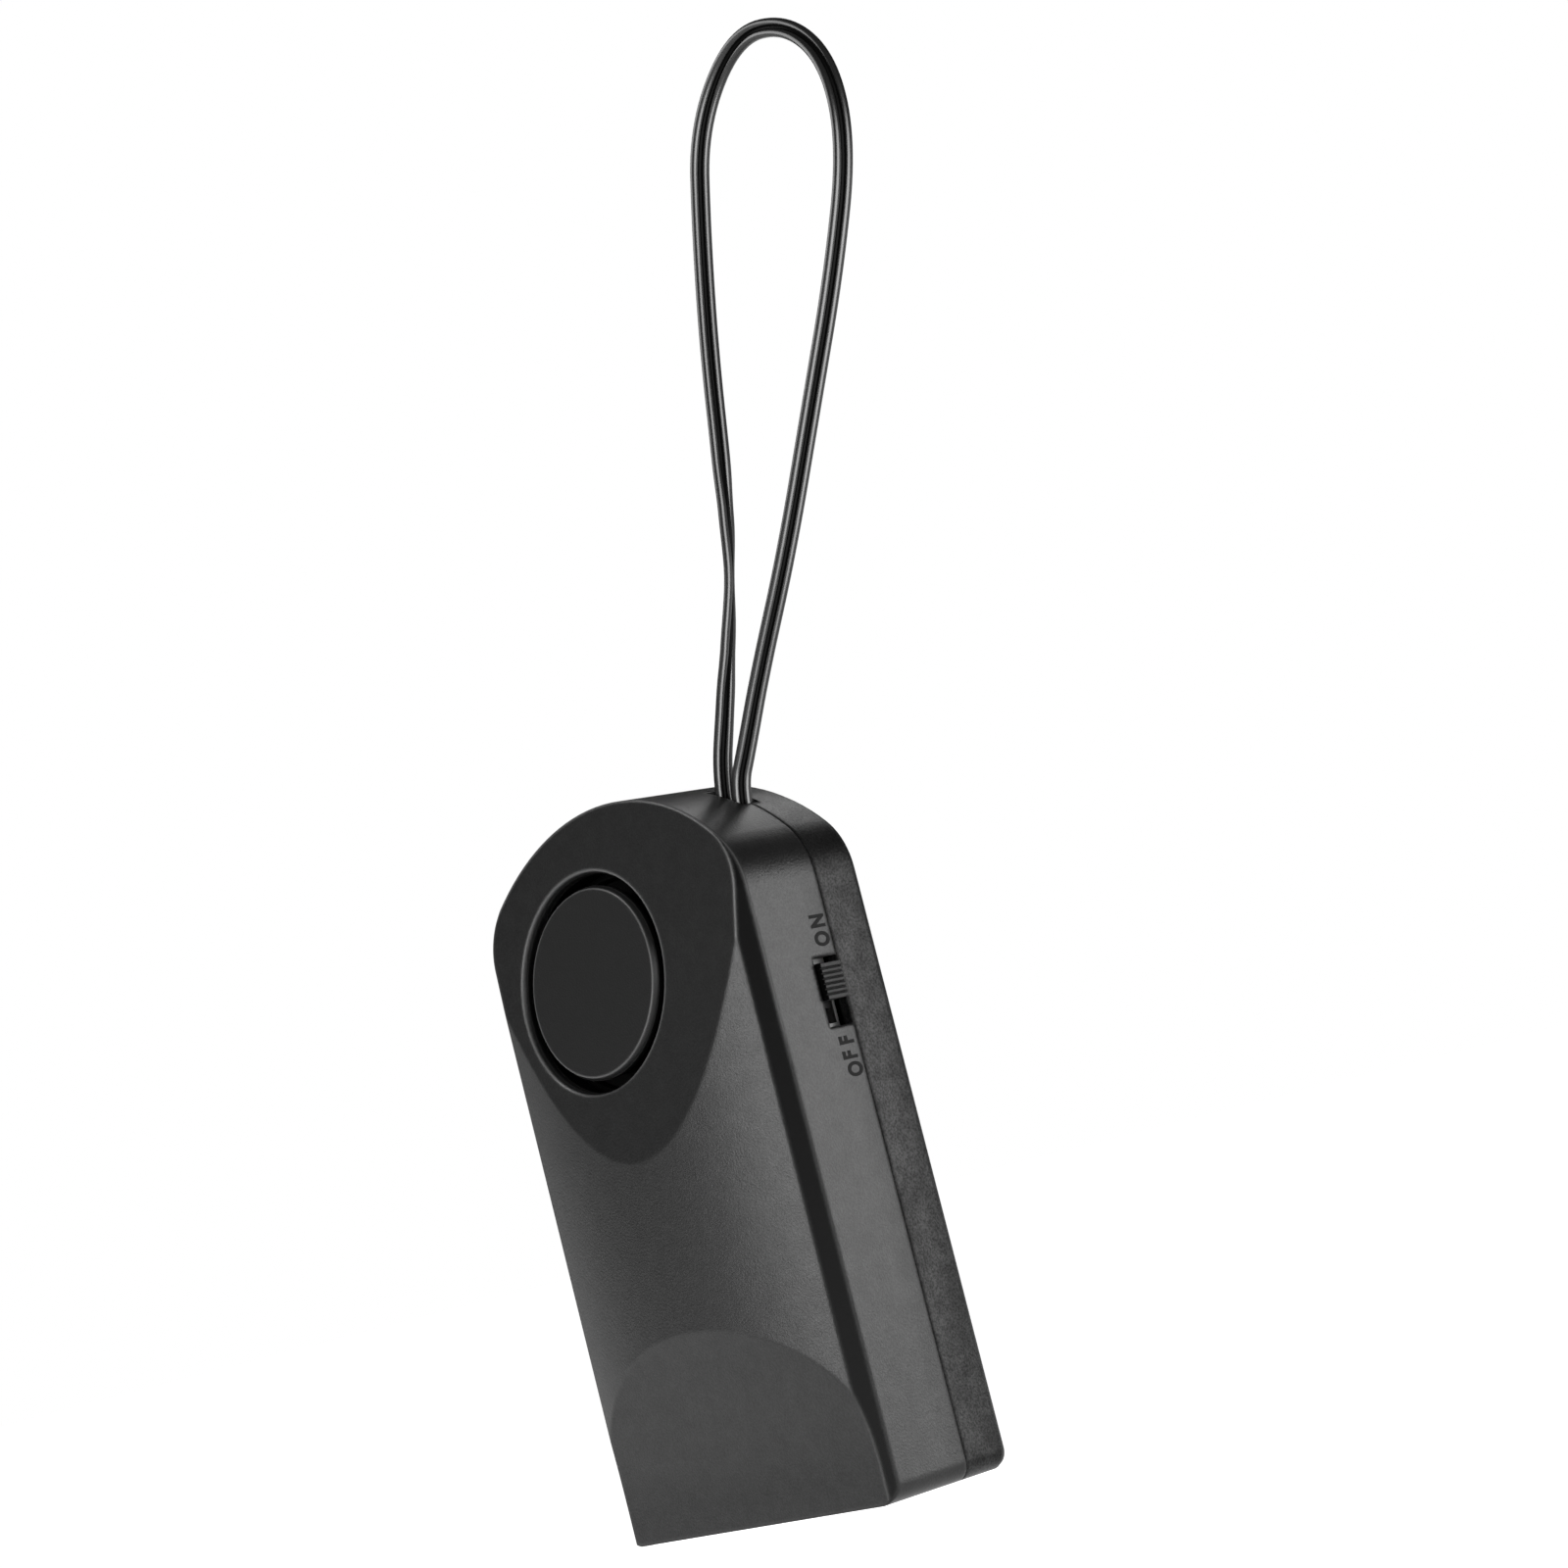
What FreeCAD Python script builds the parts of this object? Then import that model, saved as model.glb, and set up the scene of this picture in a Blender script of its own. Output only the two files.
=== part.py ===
"""Door knob alarm: a small black case that hangs from a door knob by its loop of sensor cord.

Case coordinates, in millimetres: X runs to the side with the switch, Y runs from the front to the
flat back (the back is Y = 0), Z runs up from the flat bottom (the bottom is Z = 0). Every piece is
made there and then moved so that the origin is where a knob carries the crown of the cord's loop.
"""
import FreeCAD, Part
import math
import os

import Sketcher
from FreeCAD import Placement, Rotation, Vector

doc = FreeCAD.newDocument("DoorKnobAlarm")
sheet = doc.addObject("Spreadsheet::Sheet", "Sizes")

SIZES = [
    ("side_room", 8.4, "from the battery bay to the side walls"),
    ("top_room", 6.06, "from the siren's rim to the top of the arch"),
    ("arch_radius", 32.3, "round top"),
    ("shoulder_radius", 9.6, "where the round top meets the sides"),
    ("corner_radius", 2.4, "bottom corners of the outline"),
    ("crown_radius", 80.0, "front, curved from side to side"),
    ("side_chamfer", 2.0, "bevel between the front and the sides"),
    ("crown_rise", 4.36, "highest line of the front, above the flat lower front"),
    ("facet_rise", 0.8, "flat siren facet at the siren's centre, above the lower front"),
    ("facet_tilt", 8.5, "degrees the facet leans back"),
    ("scoop_start", 4.9, "height where the lower front starts to sweep out"),
    ("scoop_radius", 50.8, "sweep from the lower front to the crown"),
    ("wall", 1.8, "front shell and the sides"),
    ("back_wall", 2.4, "back of the rear shell"),
    ("seam_depth", 8.0, "parting line, measured from the back"),
    ("seam_bevel", 0.12, "small bevel along the parting line"),
    ("back_bevel", 1.17, "edge of the back, first bevel"),
    ("back_ease", 0.43, "edge of the back, second bevel on each side of the first"),
    ("siren_x", -5.0, "centre of the siren, left of the middle"),
    ("siren_sink", 0.46, "how far the siren's rim reaches below the bay's top wall"),
    ("siren_mouth", 14.1, "radius of the opening in the facet"),
    ("siren_gap", 1.6, "sound gap between the disc and its opening"),
    ("disc_thickness", 1.5, "siren disc"),
    ("disc_bevel", 0.4, "steep edge of the siren disc, outwards"),
    ("mouth_bevel", 0.3, "steep edge of the siren's opening, outwards"),
    ("edge_drop", 0.72, "steep edges of the disc and its opening, front to back"),
    ("skirt_wall", 1.2, "skirt behind the siren disc"),
    ("rim_lap", 1.5, "how far the siren's rim reaches behind the facet"),
    ("rim_wall", 1.3, "rim that seats behind the facet"),
    ("cap_depth", 4.6, "siren cap, front to back"),
    ("spoke_size", 1.2, "spokes between skirt and rim, thick"),
    ("spoke_width", 3.4, "spokes between skirt and rim, wide"),
    ("collar_wall", 1.2, "collar of the front shell round the siren"),
    ("collar_depth", 5.0, "collar of the front shell, measured from the facet"),
    ("cup_wall", 2.0, "siren cup"),
    ("cup_depth", 4.4, "siren cup, front to back"),
    ("ledge_depth", 1.6, "from the front of the cup to its ledge"),
    ("ledge_width", 1.2, "ledge that carries the sounder plate"),
    ("plate_thickness", 0.3, "brass sounder plate"),
    ("ceramic_radius", 9.5, "ceramic on the sounder plate"),
    ("ceramic_thickness", 0.25, "ceramic on the sounder plate"),
    ("slot_length", 8.8, "switch slot, up and down"),
    ("slot_width", 4.2, "switch slot, from the seam forward"),
    ("switch_rest", 0.35, "from the board's lower edge to the switch frame"),
    ("switch_length", 10.0, "switch frame, up and down"),
    ("switch_width", 3.6, "switch frame, front to back"),
    ("switch_rise", 4.6, "switch frame, towards the side wall"),
    ("frame_sheet", 0.3, "sheet metal of the switch frame"),
    ("knob_length", 4.6, "switch knob, up and down"),
    ("knob_width", 3.4, "grip of the switch knob, front to back"),
    ("knob_stem", 2.6, "stem of the switch knob, front to back"),
    ("knob_proud", 0.8, "switch knob, above the case's side"),
    ("knob_travel", 2.5, "way of the switch knob"),
    ("knob_ridges", 7, "grip ridges on the switch knob"),
    ("board_setback", 1.2, "back face of the circuit board, behind the parting line"),
    ("board_thickness", 1.6, "circuit board"),
    ("board_clear", 0.5, "room between the bay and the circuit board"),
    ("board_margin", 1.9, "room between the circuit board and the side walls"),
    ("battery_width", 26.5, "nine volt battery"),
    ("battery_thickness", 17.5, "nine volt battery"),
    ("battery_body", 46.4, "nine volt battery without its snaps"),
    ("battery_gap", 0.17, "room behind the battery and in front of it"),
    ("battery_side", 0.85, "room on each side of the battery"),
    ("battery_base", 3.0, "underside of the battery"),
    ("stud_small", 2.8, "smaller battery snap"),
    ("stud_large", 3.9, "larger battery snap"),
    ("stud_height", 2.1, "battery snaps"),
    ("stud_spacing", 12.7, "battery snaps, centre to centre"),
    ("snap_height", 4.6, "snap connector"),
    ("snap_depth", 10.0, "snap connector, front to back"),
    ("bay_wall", 1.2, "walls of the battery bay"),
    ("bay_clear", 1.05, "room above the snap connector"),
    ("bay_lid", 14.4, "reach of the bay's top wall, from the back"),
    ("door_lap", 2.8, "how far the door reaches above the bay"),
    ("door_side", 0.3, "how far the door reaches beside the bay"),
    ("door_thickness", 1.5, "battery door"),
    ("tongue_width", 1.0, "tongues of the door, sideways"),
    ("tongue_thickness", 0.7, "tongues of the door"),
    ("door_gap", 0.2, "room round the battery door"),
    ("boss_radius", 3.2, "screw bosses"),
    ("boss_low", 8.0, "lower screw bosses"),
    ("boss_drop", 3.2, "upper screw bosses, below the top of the bay"),
    ("screw_radius", 1.15, "case screws"),
    ("screw_length", 9.0, "case screws without their heads"),
    ("head_radius", 2.2, "case screw heads"),
    ("head_height", 1.6, "case screw heads"),
    ("head_seat", 4.0, "seat of the screw heads, from the back"),
    ("post_radius", 2.2, "posts that carry the circuit board"),
    ("post_inset", 4.3, "right post, from the side of the circuit board"),
    ("post_rise", 17.6, "right post, above the lower edge of the circuit board"),
    ("post_corner", 1.6, "left post, from the side of the circuit board"),
    ("post_foot", 2.0, "left post, above the lower edge of the circuit board"),
    ("post_drop", 7.6, "top post, below the top of the arch"),
    ("board_screw", 0.95, "board screws"),
    ("board_screw_length", 5.6, "board screws without their heads"),
    ("fit", 0.15, "room between pieces that fit together"),
    ("cord_diameter", 2.5, "sensor cord, its wide way"),
    ("cord_pitch", 3.0, "the cord's two ends, centre to centre"),
    ("cord_inset", 11.4, "middle of the cord's notch, from the case's side"),
    ("notch_width", 2.9, "cord notch, front to back"),
    ("clamp_drop", 7.7, "top of the cord clamp, below the top of the arch"),
    ("clamp_height", 3.2, "cord clamp"),
    ("clamp_wall", 0.5, "cord clamp, beside the cord"),
    ("clamp_clear", 0.45, "room between the cord clamp and the circuit board"),
    ("lead_radius", 0.6, "leads of the battery"),
    ("lead_x", 2.6, "leads of the battery, from the middle"),
    ("lead_depth", 11.2, "leads of the battery, from the back"),
    ("lead_gap", 4.4, "slot for the battery's leads in the bay's top wall"),
    ("hang_x", 28.7, "crown of the cord's loop, to the right of the clamp"),
    ("hang_y", 8.7, "crown of the cord's loop, behind the clamp"),
    ("hang_rise", 94.9, "underside of the crown of the cord's loop, above the clamp"),
]

# The sensor cord's route through its loop, from the top of the clamp back to it.
CORD_ROUTE = [
    (-1.5, 0.0, 0.0),
    (-1.5, 0.0, 6.0),
    (1.9, 1.1, 16.0),
    (7.2, 2.7, 31.5),
    (9.3, 3.9, 45.5),
    (11.0, 5.1, 60.0),
    (13.5, 6.7, 75.5),
    (16.6, 7.8, 88.4),
    (25.7, 8.8, 96.9),
    (35.4, 8.5, 94.8),
    (41.5, 7.7, 87.3),
    (41.7, 6.7, 76.1),
    (35.3, 5.5, 62.0),
    (27.5, 4.1, 48.0),
    (18.1, 2.6, 31.4),
    (9.3, 1.3, 18.1),
    (4.3, 0.5, 9.5),
    (1.5, 0.0, 4.9),
    (1.5, 0.0, 0.0),
]

for row, (alias, value, note) in enumerate(SIZES, start=1):
    sheet.set(f"A{row}", alias)
    sheet.set(f"B{row}", str(value))
    sheet.set(f"C{row}", note)
    sheet.setAlias(f"B{row}", alias)
doc.recompute()


class Size:
    """A length or an angle: its value now, and the formula that ties it to the sheet."""

    def __init__(self, value, formula):
        self.value = value
        self.formula = formula

    def __float__(self):
        return float(self.value)

    def __add__(self, other):
        other = size(other)
        return Size(self.value + other.value, f"({self.formula} + {other.formula})")

    def __sub__(self, other):
        other = size(other)
        return Size(self.value - other.value, f"({self.formula} - {other.formula})")

    def __mul__(self, other):
        other = size(other)
        return Size(self.value * other.value, f"({self.formula} * {other.formula})")

    def __truediv__(self, other):
        other = size(other)
        return Size(self.value / other.value, f"({self.formula} / {other.formula})")

    def __neg__(self):
        return Size(-self.value, f"(-{self.formula})")

    def __radd__(self, other):
        return size(other) + self

    def __rsub__(self, other):
        return size(other) - self

    def __rmul__(self, other):
        return size(other) * self


def size(value):
    """A plain number as a Size."""
    return value if isinstance(value, Size) else Size(float(value), repr(float(value)))


def root(length):
    """Square root."""
    return Size(math.sqrt(length.value), f"sqrt({length.formula})")


def turn(function, angle):
    """The sine, cosine or tangent of an angle in degrees."""
    return Size(getattr(math, function)(math.radians(angle.value)), f"{function}({angle.formula} * 1 deg)")


S = {alias: Size(float(value), f"Sizes.{alias}") for alias, value, note in SIZES}
FRONT_SLOPE = turn("tan", S["facet_tilt"])
REACH = 6.0                      # how far a cutting shape stands out of what it cuts
pieces = []

# Places that several pieces share

FRONT_FLAT = S["door_thickness"] + S["battery_gap"] * 2 + S["battery_thickness"] + S["wall"]
CASE_DEPTH = FRONT_FLAT + S["crown_rise"]
FACET_DEPTH = FRONT_FLAT + S["facet_rise"]
BATTERY_BACK = S["door_thickness"] + S["battery_gap"]
BATTERY_MIDDLE = BATTERY_BACK + S["battery_thickness"] / 2
SNAP_BASE = S["battery_base"] + S["battery_body"] + S["fit"]
BAY_HALF = S["battery_width"] / 2 + S["battery_side"]
BAY_OUTER = BAY_HALF + S["bay_wall"]
BAY_TOP = SNAP_BASE + S["snap_height"] + S["bay_clear"]
HALF = BAY_OUTER + S["side_room"] + S["wall"]
DOOR_HALF = BAY_HALF + S["door_side"]
DOOR_TOP = BAY_TOP + S["door_lap"]
RIM_OUTER = S["siren_mouth"] + S["rim_lap"]
SIREN_DISC = S["siren_mouth"] - S["siren_gap"]
SIREN_HEIGHT = BAY_TOP + S["bay_wall"] - S["siren_sink"] + RIM_OUTER
CASE_HEIGHT = SIREN_HEIGHT + RIM_OUTER + S["top_room"]
CAP_RIM_FRONT = S["wall"] + S["fit"]
CUP_LEDGE = S["cap_depth"] + S["ledge_depth"]
SIREN_PLACE = Placement(
    Vector(S["siren_x"].value, -FACET_DEPTH.value, SIREN_HEIGHT.value),
    Rotation(Vector(1, 0, 0), 90 - S["facet_tilt"].value))
BOARD_BACK = S["seam_depth"] - S["board_setback"]
BOARD_FRONT = BOARD_BACK + S["board_thickness"]
BOARD_BOTTOM = BAY_TOP + S["bay_wall"] + S["board_clear"]
BOARD_HALF = HALF - S["wall"] - S["board_margin"]
SWITCH_DEPTH = BOARD_FRONT + S["switch_width"] / 2
SWITCH_MIDDLE = BOARD_BOTTOM + S["switch_rest"] + S["switch_length"] / 2
KNOB_REST = SWITCH_MIDDLE + S["knob_travel"] / 2
FRAME_TOP = HALF - S["wall"] - S["fit"] * 2
BOSS_X = BAY_OUTER + S["side_room"] / 2
BOSSES = [(side * BOSS_X, z) for side in (-1, 1) for z in (S["boss_low"], BAY_TOP - S["boss_drop"])]
CLAMP_X = HALF - S["cord_inset"]
CLAMP_REACH = (S["cord_pitch"] + S["cord_diameter"]) / 2 + S["clamp_wall"]
POSTS = [
    (BOARD_HALF - S["post_inset"], BOARD_BOTTOM + S["post_rise"]),
    (-(BOARD_HALF - S["post_corner"]), BOARD_BOTTOM + S["post_foot"]),
    (CLAMP_X - CLAMP_REACH - S["post_radius"] - 0.05, CASE_HEIGHT - S["post_drop"]),
]
CLAMP_TOP = CASE_HEIGHT - S["clamp_drop"]
CORD_HOME = Vector(CLAMP_X.value, -S["seam_depth"].value, CLAMP_TOP.value)
CROWN = Vector(S["hang_x"].value, S["hang_y"].value, S["hang_rise"].value)
HUNG = Placement(-(CORD_HOME + CROWN), Rotation())


# Helpers: binding, sketches, features and primitives

def bind(item, prop, length):
    """Set a property of an object to a size, tied to the sheet."""
    item.setExpression(prop, size(length).formula)


def new_body(name):
    return doc.addObject("PartDesign::Body", name)


def sketch_on(body, role, name, offset=0.0):
    """A sketch on one of the body's own origin planes, moved along the plane's normal."""
    sketch = body.newObject("Sketcher::SketchObject", name)
    plane = next(item for item in body.Origin.OriginFeatures if item.Role == role)
    sketch.AttachmentSupport = [(plane, "")]
    sketch.MapMode = "FlatFace"
    bind(sketch, "AttachmentOffset.Base.z", offset)
    return sketch


def hold(sketch, kind, places, length):
    """Add a constraint and tie it to a size."""
    index = sketch.addConstraint(Sketcher.Constraint(kind, *places, float(length)))
    bind(sketch, f"Constraints[{index}]", length)


def trace(sketch, corners):
    """Draw a closed outline through corners (across, up). A corner with a third entry starts an arc of
    that radius to the next corner: it bulges to the right of the way there, or to the left if negative."""
    START, END = 1, 2
    first = sketch.GeometryCount
    spots = [Vector(float(corner[0]), float(corner[1]), 0) for corner in corners]
    ends = []
    for index, corner in enumerate(corners):
        here = spots[index]
        there = spots[(index + 1) % len(spots)]
        if len(corner) == 2:
            sketch.addGeometry(Part.LineSegment(here, there))
            ends.append((START, END))
            continue
        radius = abs(float(corner[2]))
        side = 1 if float(corner[2]) > 0 else -1
        chord = there - here
        bulge = radius - math.sqrt(radius ** 2 - chord.Length ** 2 / 4)
        outward = Vector(chord.y, -chord.x, 0).normalize() * side
        sketch.addGeometry(Part.Arc(here, (here + there) * 0.5 + outward * bulge, there))
        ends.append((START, END) if side > 0 else (END, START))
        hold(sketch, "Radius", (first + index,), corner[2] if side > 0 else -corner[2])
    for index, corner in enumerate(corners):
        after = (index + 1) % len(corners)
        sketch.addConstraint(
            Sketcher.Constraint("Coincident", first + index, ends[index][1], first + after, ends[after][0]))
        hold(sketch, "DistanceX", (-1, 1, first + index, ends[index][0]), corner[0])
        hold(sketch, "DistanceY", (-1, 1, first + index, ends[index][0]), corner[1])


def block_outline(left, right, low, high):
    """The four corners of an upright rectangle, for trace."""
    return [(left, low), (right, low), (right, high), (left, high)]


def ring(sketch, across, up, radius):
    """Draw a circle."""
    number = sketch.addGeometry(
        Part.Circle(Vector(float(across), float(up), 0), Vector(0, 0, 1), float(radius)))
    hold(sketch, "Radius", (number,), radius)
    hold(sketch, "DistanceX", (-1, 1, number, 3), across)
    hold(sketch, "DistanceY", (-1, 1, number, 3), up)


def extrude(body, kind, name, sketch, length, both_ways=False, reversed_way=False):
    """A Pad or a Pocket of a sketch."""
    feature = body.newObject(f"PartDesign::{kind}", name)
    feature.Profile = sketch
    bind(feature, "Length", length)
    if both_ways:
        feature.SideType = "Symmetric"
    feature.Reversed = reversed_way
    return feature


def revolve(body, name, sketch):
    """A full Revolution of a sketch about its upright axis."""
    feature = body.newObject("PartDesign::Revolution", name)
    feature.Profile = sketch
    feature.ReferenceAxis = (sketch, ["V_Axis"])
    feature.Angle = 360
    return feature


def dress_edges(body, kind, name, feature, amount, test):
    """A Fillet or a Chamfer on the feature's edges that pass a test."""
    doc.recompute()
    names = [f"Edge{number}" for number, edge in enumerate(feature.Shape.Edges, start=1) if test(edge)]
    dress = body.newObject(f"PartDesign::{kind}", name)
    dress.Base = (feature, names)
    bind(dress, "Radius" if kind == "Fillet" else "Size", amount)
    return dress


def round_edges(body, name, feature, radius, test):
    return dress_edges(body, "Fillet", name, feature, radius, test)


def bevel_edges(body, name, feature, amount, test):
    return dress_edges(body, "Chamfer", name, feature, amount, test)


def along(edge, axis):
    """True for a straight edge that runs along an axis."""
    if not isinstance(edge.Curve, Part.Line):
        return False
    return abs(edge.Curve.Direction.dot(axis)) > 0.999


def box(name, x, y, z):
    """A Part::Box between pairs of sizes."""
    item = doc.addObject("Part::Box", name)
    for side, axis, span in (("Length", "x", x), ("Width", "y", y), ("Height", "z", z)):
        low, high = size(span[0]), size(span[1])
        bind(item, side, high - low)
        bind(item, f"Placement.Base.{axis}", low)
    return item


TURNS = {
    "x": Rotation(Vector(0, 1, 0), 90),
    "y": Rotation(Vector(1, 0, 0), -90),
    "z": Rotation(),
}


def rod(name, axis, radius, start, length):
    """A Part::Cylinder from a start point along X, Y or Z."""
    item = doc.addObject("Part::Cylinder", name)
    item.Placement = Placement(Vector(), TURNS[axis])
    bind(item, "Radius", radius)
    bind(item, "Height", length)
    for letter, place in zip("xyz", start):
        bind(item, f"Placement.Base.{letter}", place)
    return item


def fuse(name, items):
    result = doc.addObject("Part::MultiFuse", name)
    result.Shapes = items
    return result


def cut(name, base, tools):
    result = doc.addObject("Part::Cut", name)
    result.Base = base
    result.Tool = tools[0] if len(tools) == 1 else fuse(f"{name}Tools", tools)
    return result


def common(name, first, second):
    result = doc.addObject("Part::MultiCommon", name)
    result.Shapes = [first, second]
    return result


def group(name, items):
    """Separate solids in one node."""
    result = doc.addObject("Part::Compound", name)
    result.Links = items
    return result


def publish(item, label, place=None):
    """Name a finished piece and move it from case coordinates to the hanging frame."""
    if item.TypeId in ("Part::Box", "Part::Cylinder"):
        item = group(f"{item.Name}Piece", [item])
    item.Label = label
    item.Placement = HUNG if place is None else HUNG * place
    pieces.append(item)
    return item


def arch_height(inset):
    """Where the arch, drawn inset, meets the sides."""
    radius = S["arch_radius"] - inset
    side = HALF - inset
    return CASE_HEIGHT - S["arch_radius"] + root(radius * radius - side * side)


def crown_at_side():
    """Depth of the curved front where the bevel starts."""
    side = HALF - S["side_chamfer"]
    radius = S["crown_radius"]
    return CASE_DEPTH - radius + root(radius * radius - side * side)


# The case

def outline(body, name, inset, depth, length, bevel=None):
    """The case's outline, inset all round, as a pad from a depth towards the front, with its corners. A
    bevel breaks the edges of its front all round but at the bottom."""
    side = HALF - inset
    bottom = size(inset)
    shoulder = arch_height(inset)
    sketch = sketch_on(body, "XZ_Plane", f"{name}Outline", depth)
    trace(sketch, [
        (-side, bottom),
        (side, bottom),
        (side, shoulder, S["arch_radius"] - inset),
        (size(0), CASE_HEIGHT - inset, S["arch_radius"] - inset),
        (-side, shoulder),
    ])
    pad = extrude(body, "Pad", f"{name}Pad", sketch, length)
    shaped = round_edges(
        body, f"{name}Shoulders", pad, S["shoulder_radius"] - inset,
        lambda edge: along(edge, Vector(0, 1, 0)) and abs(edge.BoundBox.ZMax - shoulder.value) < 0.1)
    if bevel is not None:
        front = -(size(depth) + length).value
        shaped = bevel_edges(
            body, f"{name}Bevel", shaped, bevel,
            lambda edge: abs(edge.BoundBox.YMin - front) < 0.01 and edge.BoundBox.YLength < 0.01
            and edge.BoundBox.ZMax > bottom.value + 0.1)
    return round_edges(
        body, f"{name}Corners", shaped, S["corner_radius"] - inset * 0.8,
        lambda edge: along(edge, Vector(0, 1, 0)) and edge.BoundBox.ZMax < bottom.value + 0.1)


def bevel_seam(body, name, feature):
    """A small bevel on the outline's edges in the parting plane."""
    plane = -S["seam_depth"].value
    return bevel_edges(
        body, name, feature, S["seam_bevel"],
        lambda edge: edge.BoundBox.YLength < 0.01 and abs(edge.BoundBox.YMax - plane) < 0.01)


def front_form(name, inset, start, bevelled=False):
    """The front half of the case as a solid: outline, crowned front, bevels, siren facet and scoop."""
    body = new_body(name)
    far = CASE_DEPTH + REACH * 2
    bevel = S["side_chamfer"] - inset * (2 - math.sqrt(2))
    edge_depth = crown_at_side() - inset
    edge = HALF - inset - bevel
    rounded = outline(body, name, inset, start, edge_depth - start, bevel)
    if bevelled:
        bevel_seam(body, f"{name}SeamBevel", rounded)
    plan = sketch_on(body, "XY_Plane", f"{name}Plan", S["scoop_start"])
    trace(plan, [(-edge, -edge_depth, S["crown_radius"] - inset), (edge, -edge_depth)])
    extrude(body, "Pad", f"{name}Crown", plan, SIREN_HEIGHT)
    shift = inset / turn("cos", S["facet_tilt"])
    high = CASE_HEIGHT + REACH
    facet = sketch_on(body, "YZ_Plane", f"{name}FacetLine")
    trace(facet, [
        (-far, SIREN_HEIGHT - (far - FACET_DEPTH + shift) / FRONT_SLOPE),
        (FRONT_SLOPE * (high - SIREN_HEIGHT) - FACET_DEPTH + shift, high),
        (-far, high),
    ])
    extrude(body, "Pocket", f"{name}Facet", facet, HALF * 4, both_ways=True)
    bottom = size(-REACH)
    sweep = S["scoop_radius"] + inset
    flat = FRONT_FLAT - inset
    drop = far - flat
    scoop = sketch_on(body, "YZ_Plane", f"{name}ScoopLine")
    trace(scoop, [
        (-far, bottom),
        (-flat, bottom),
        (-flat, S["scoop_start"], sweep),
        (-far, S["scoop_start"] + root(sweep * sweep - (sweep - drop) * (sweep - drop))),
    ])
    extrude(body, "Pocket", f"{name}Scoop", scoop, HALF * 4, both_ways=True)
    return body


def siren_rod(name, radius, front, back):
    """A cylinder about the siren's axis between two depths behind the facet."""
    item = doc.addObject("Part::Cylinder", name)
    bind(item, "Radius", radius)
    bind(item, "Height", back - front)
    item.Placement = SIREN_PLACE * Placement(Vector(0, 0, -back.value), Rotation())
    return item


def cord_notch(name):
    """The slot that both ends of the cord pass, half in each shell."""
    half = S["notch_width"] / 2
    reach = (S["cord_pitch"] + S["cord_diameter"]) / 2 + 0.3
    return box(
        name,
        (CLAMP_X - reach, CLAMP_X + reach),
        (-S["seam_depth"] - half, -S["seam_depth"] + half),
        (CLAMP_TOP - 1, CASE_HEIGHT + REACH))


def make_front_shell():
    """The front shell: hollow, with the siren's mouth, the switch slot, bosses and board posts."""
    form = front_form("FrontForm", size(0), S["seam_depth"], bevelled=True)
    core = front_form("FrontCore", S["wall"], S["seam_depth"] - 1)
    hollow = cut("FrontHollow", form, [core])
    columns = []
    for number, (x, z) in enumerate(BOSSES):
        columns.append(rod(
            f"FrontBoss{number}", "y", S["boss_radius"], (x, -CASE_DEPTH - 1, z),
            CASE_DEPTH + 1 - S["seam_depth"]))
    for number, (x, z) in enumerate(POSTS):
        columns.append(rod(
            f"FrontPost{number}", "y", S["post_radius"], (x, -CASE_DEPTH - 1, z),
            CASE_DEPTH + 1 - BOARD_FRONT))
    columns.append(siren_rod(
        "SirenCollar", RIM_OUTER + S["fit"] + S["collar_wall"], S["wall"] / 2, S["collar_depth"]))
    trimmed = common("FrontColumns", form, fuse("FrontColumnSet", columns))
    mouth = siren_rod("SirenMouth", S["siren_mouth"], size(-REACH), S["collar_depth"] + 1)
    rim = doc.addObject("Part::Cone", "MouthBevel")
    bind(rim, "Radius1", S["siren_mouth"])
    bind(rim, "Radius2", S["siren_mouth"] + S["mouth_bevel"] * 2)
    bind(rim, "Height", S["edge_drop"] * 2)
    rim.Placement = SIREN_PLACE * Placement(Vector(0, 0, -S["edge_drop"].value), Rotation())
    bore = siren_rod("CollarBore", RIM_OUTER + S["fit"], S["wall"], S["cap_depth"] + S["cup_depth"] + 1)
    slot = box(
        "SwitchSlot",
        (HALF - S["wall"] - 1, HALF + REACH),
        (-S["seam_depth"] - S["slot_width"], -S["seam_depth"] + 1),
        (SWITCH_MIDDLE - S["slot_length"] / 2, SWITCH_MIDDLE + S["slot_length"] / 2))
    holes = [mouth, rim, bore, slot, cord_notch("FrontNotch")]
    for number, (x, z) in enumerate(BOSSES):
        holes.append(rod(
            f"FrontPilot{number}", "y", S["screw_radius"] + 0.05,
            (x, -S["head_seat"] - S["screw_length"] - 1, z), S["screw_length"] + 1))
    for number, (x, z) in enumerate(POSTS):
        holes.append(rod(
            f"PostPilot{number}", "y", S["board_screw"] + 0.05, (x, -BOARD_FRONT - 5, z), size(6)))
    publish(cut("FrontShell", fuse("FrontWhole", [hollow, trimmed]), holes), "front_shell")


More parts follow.
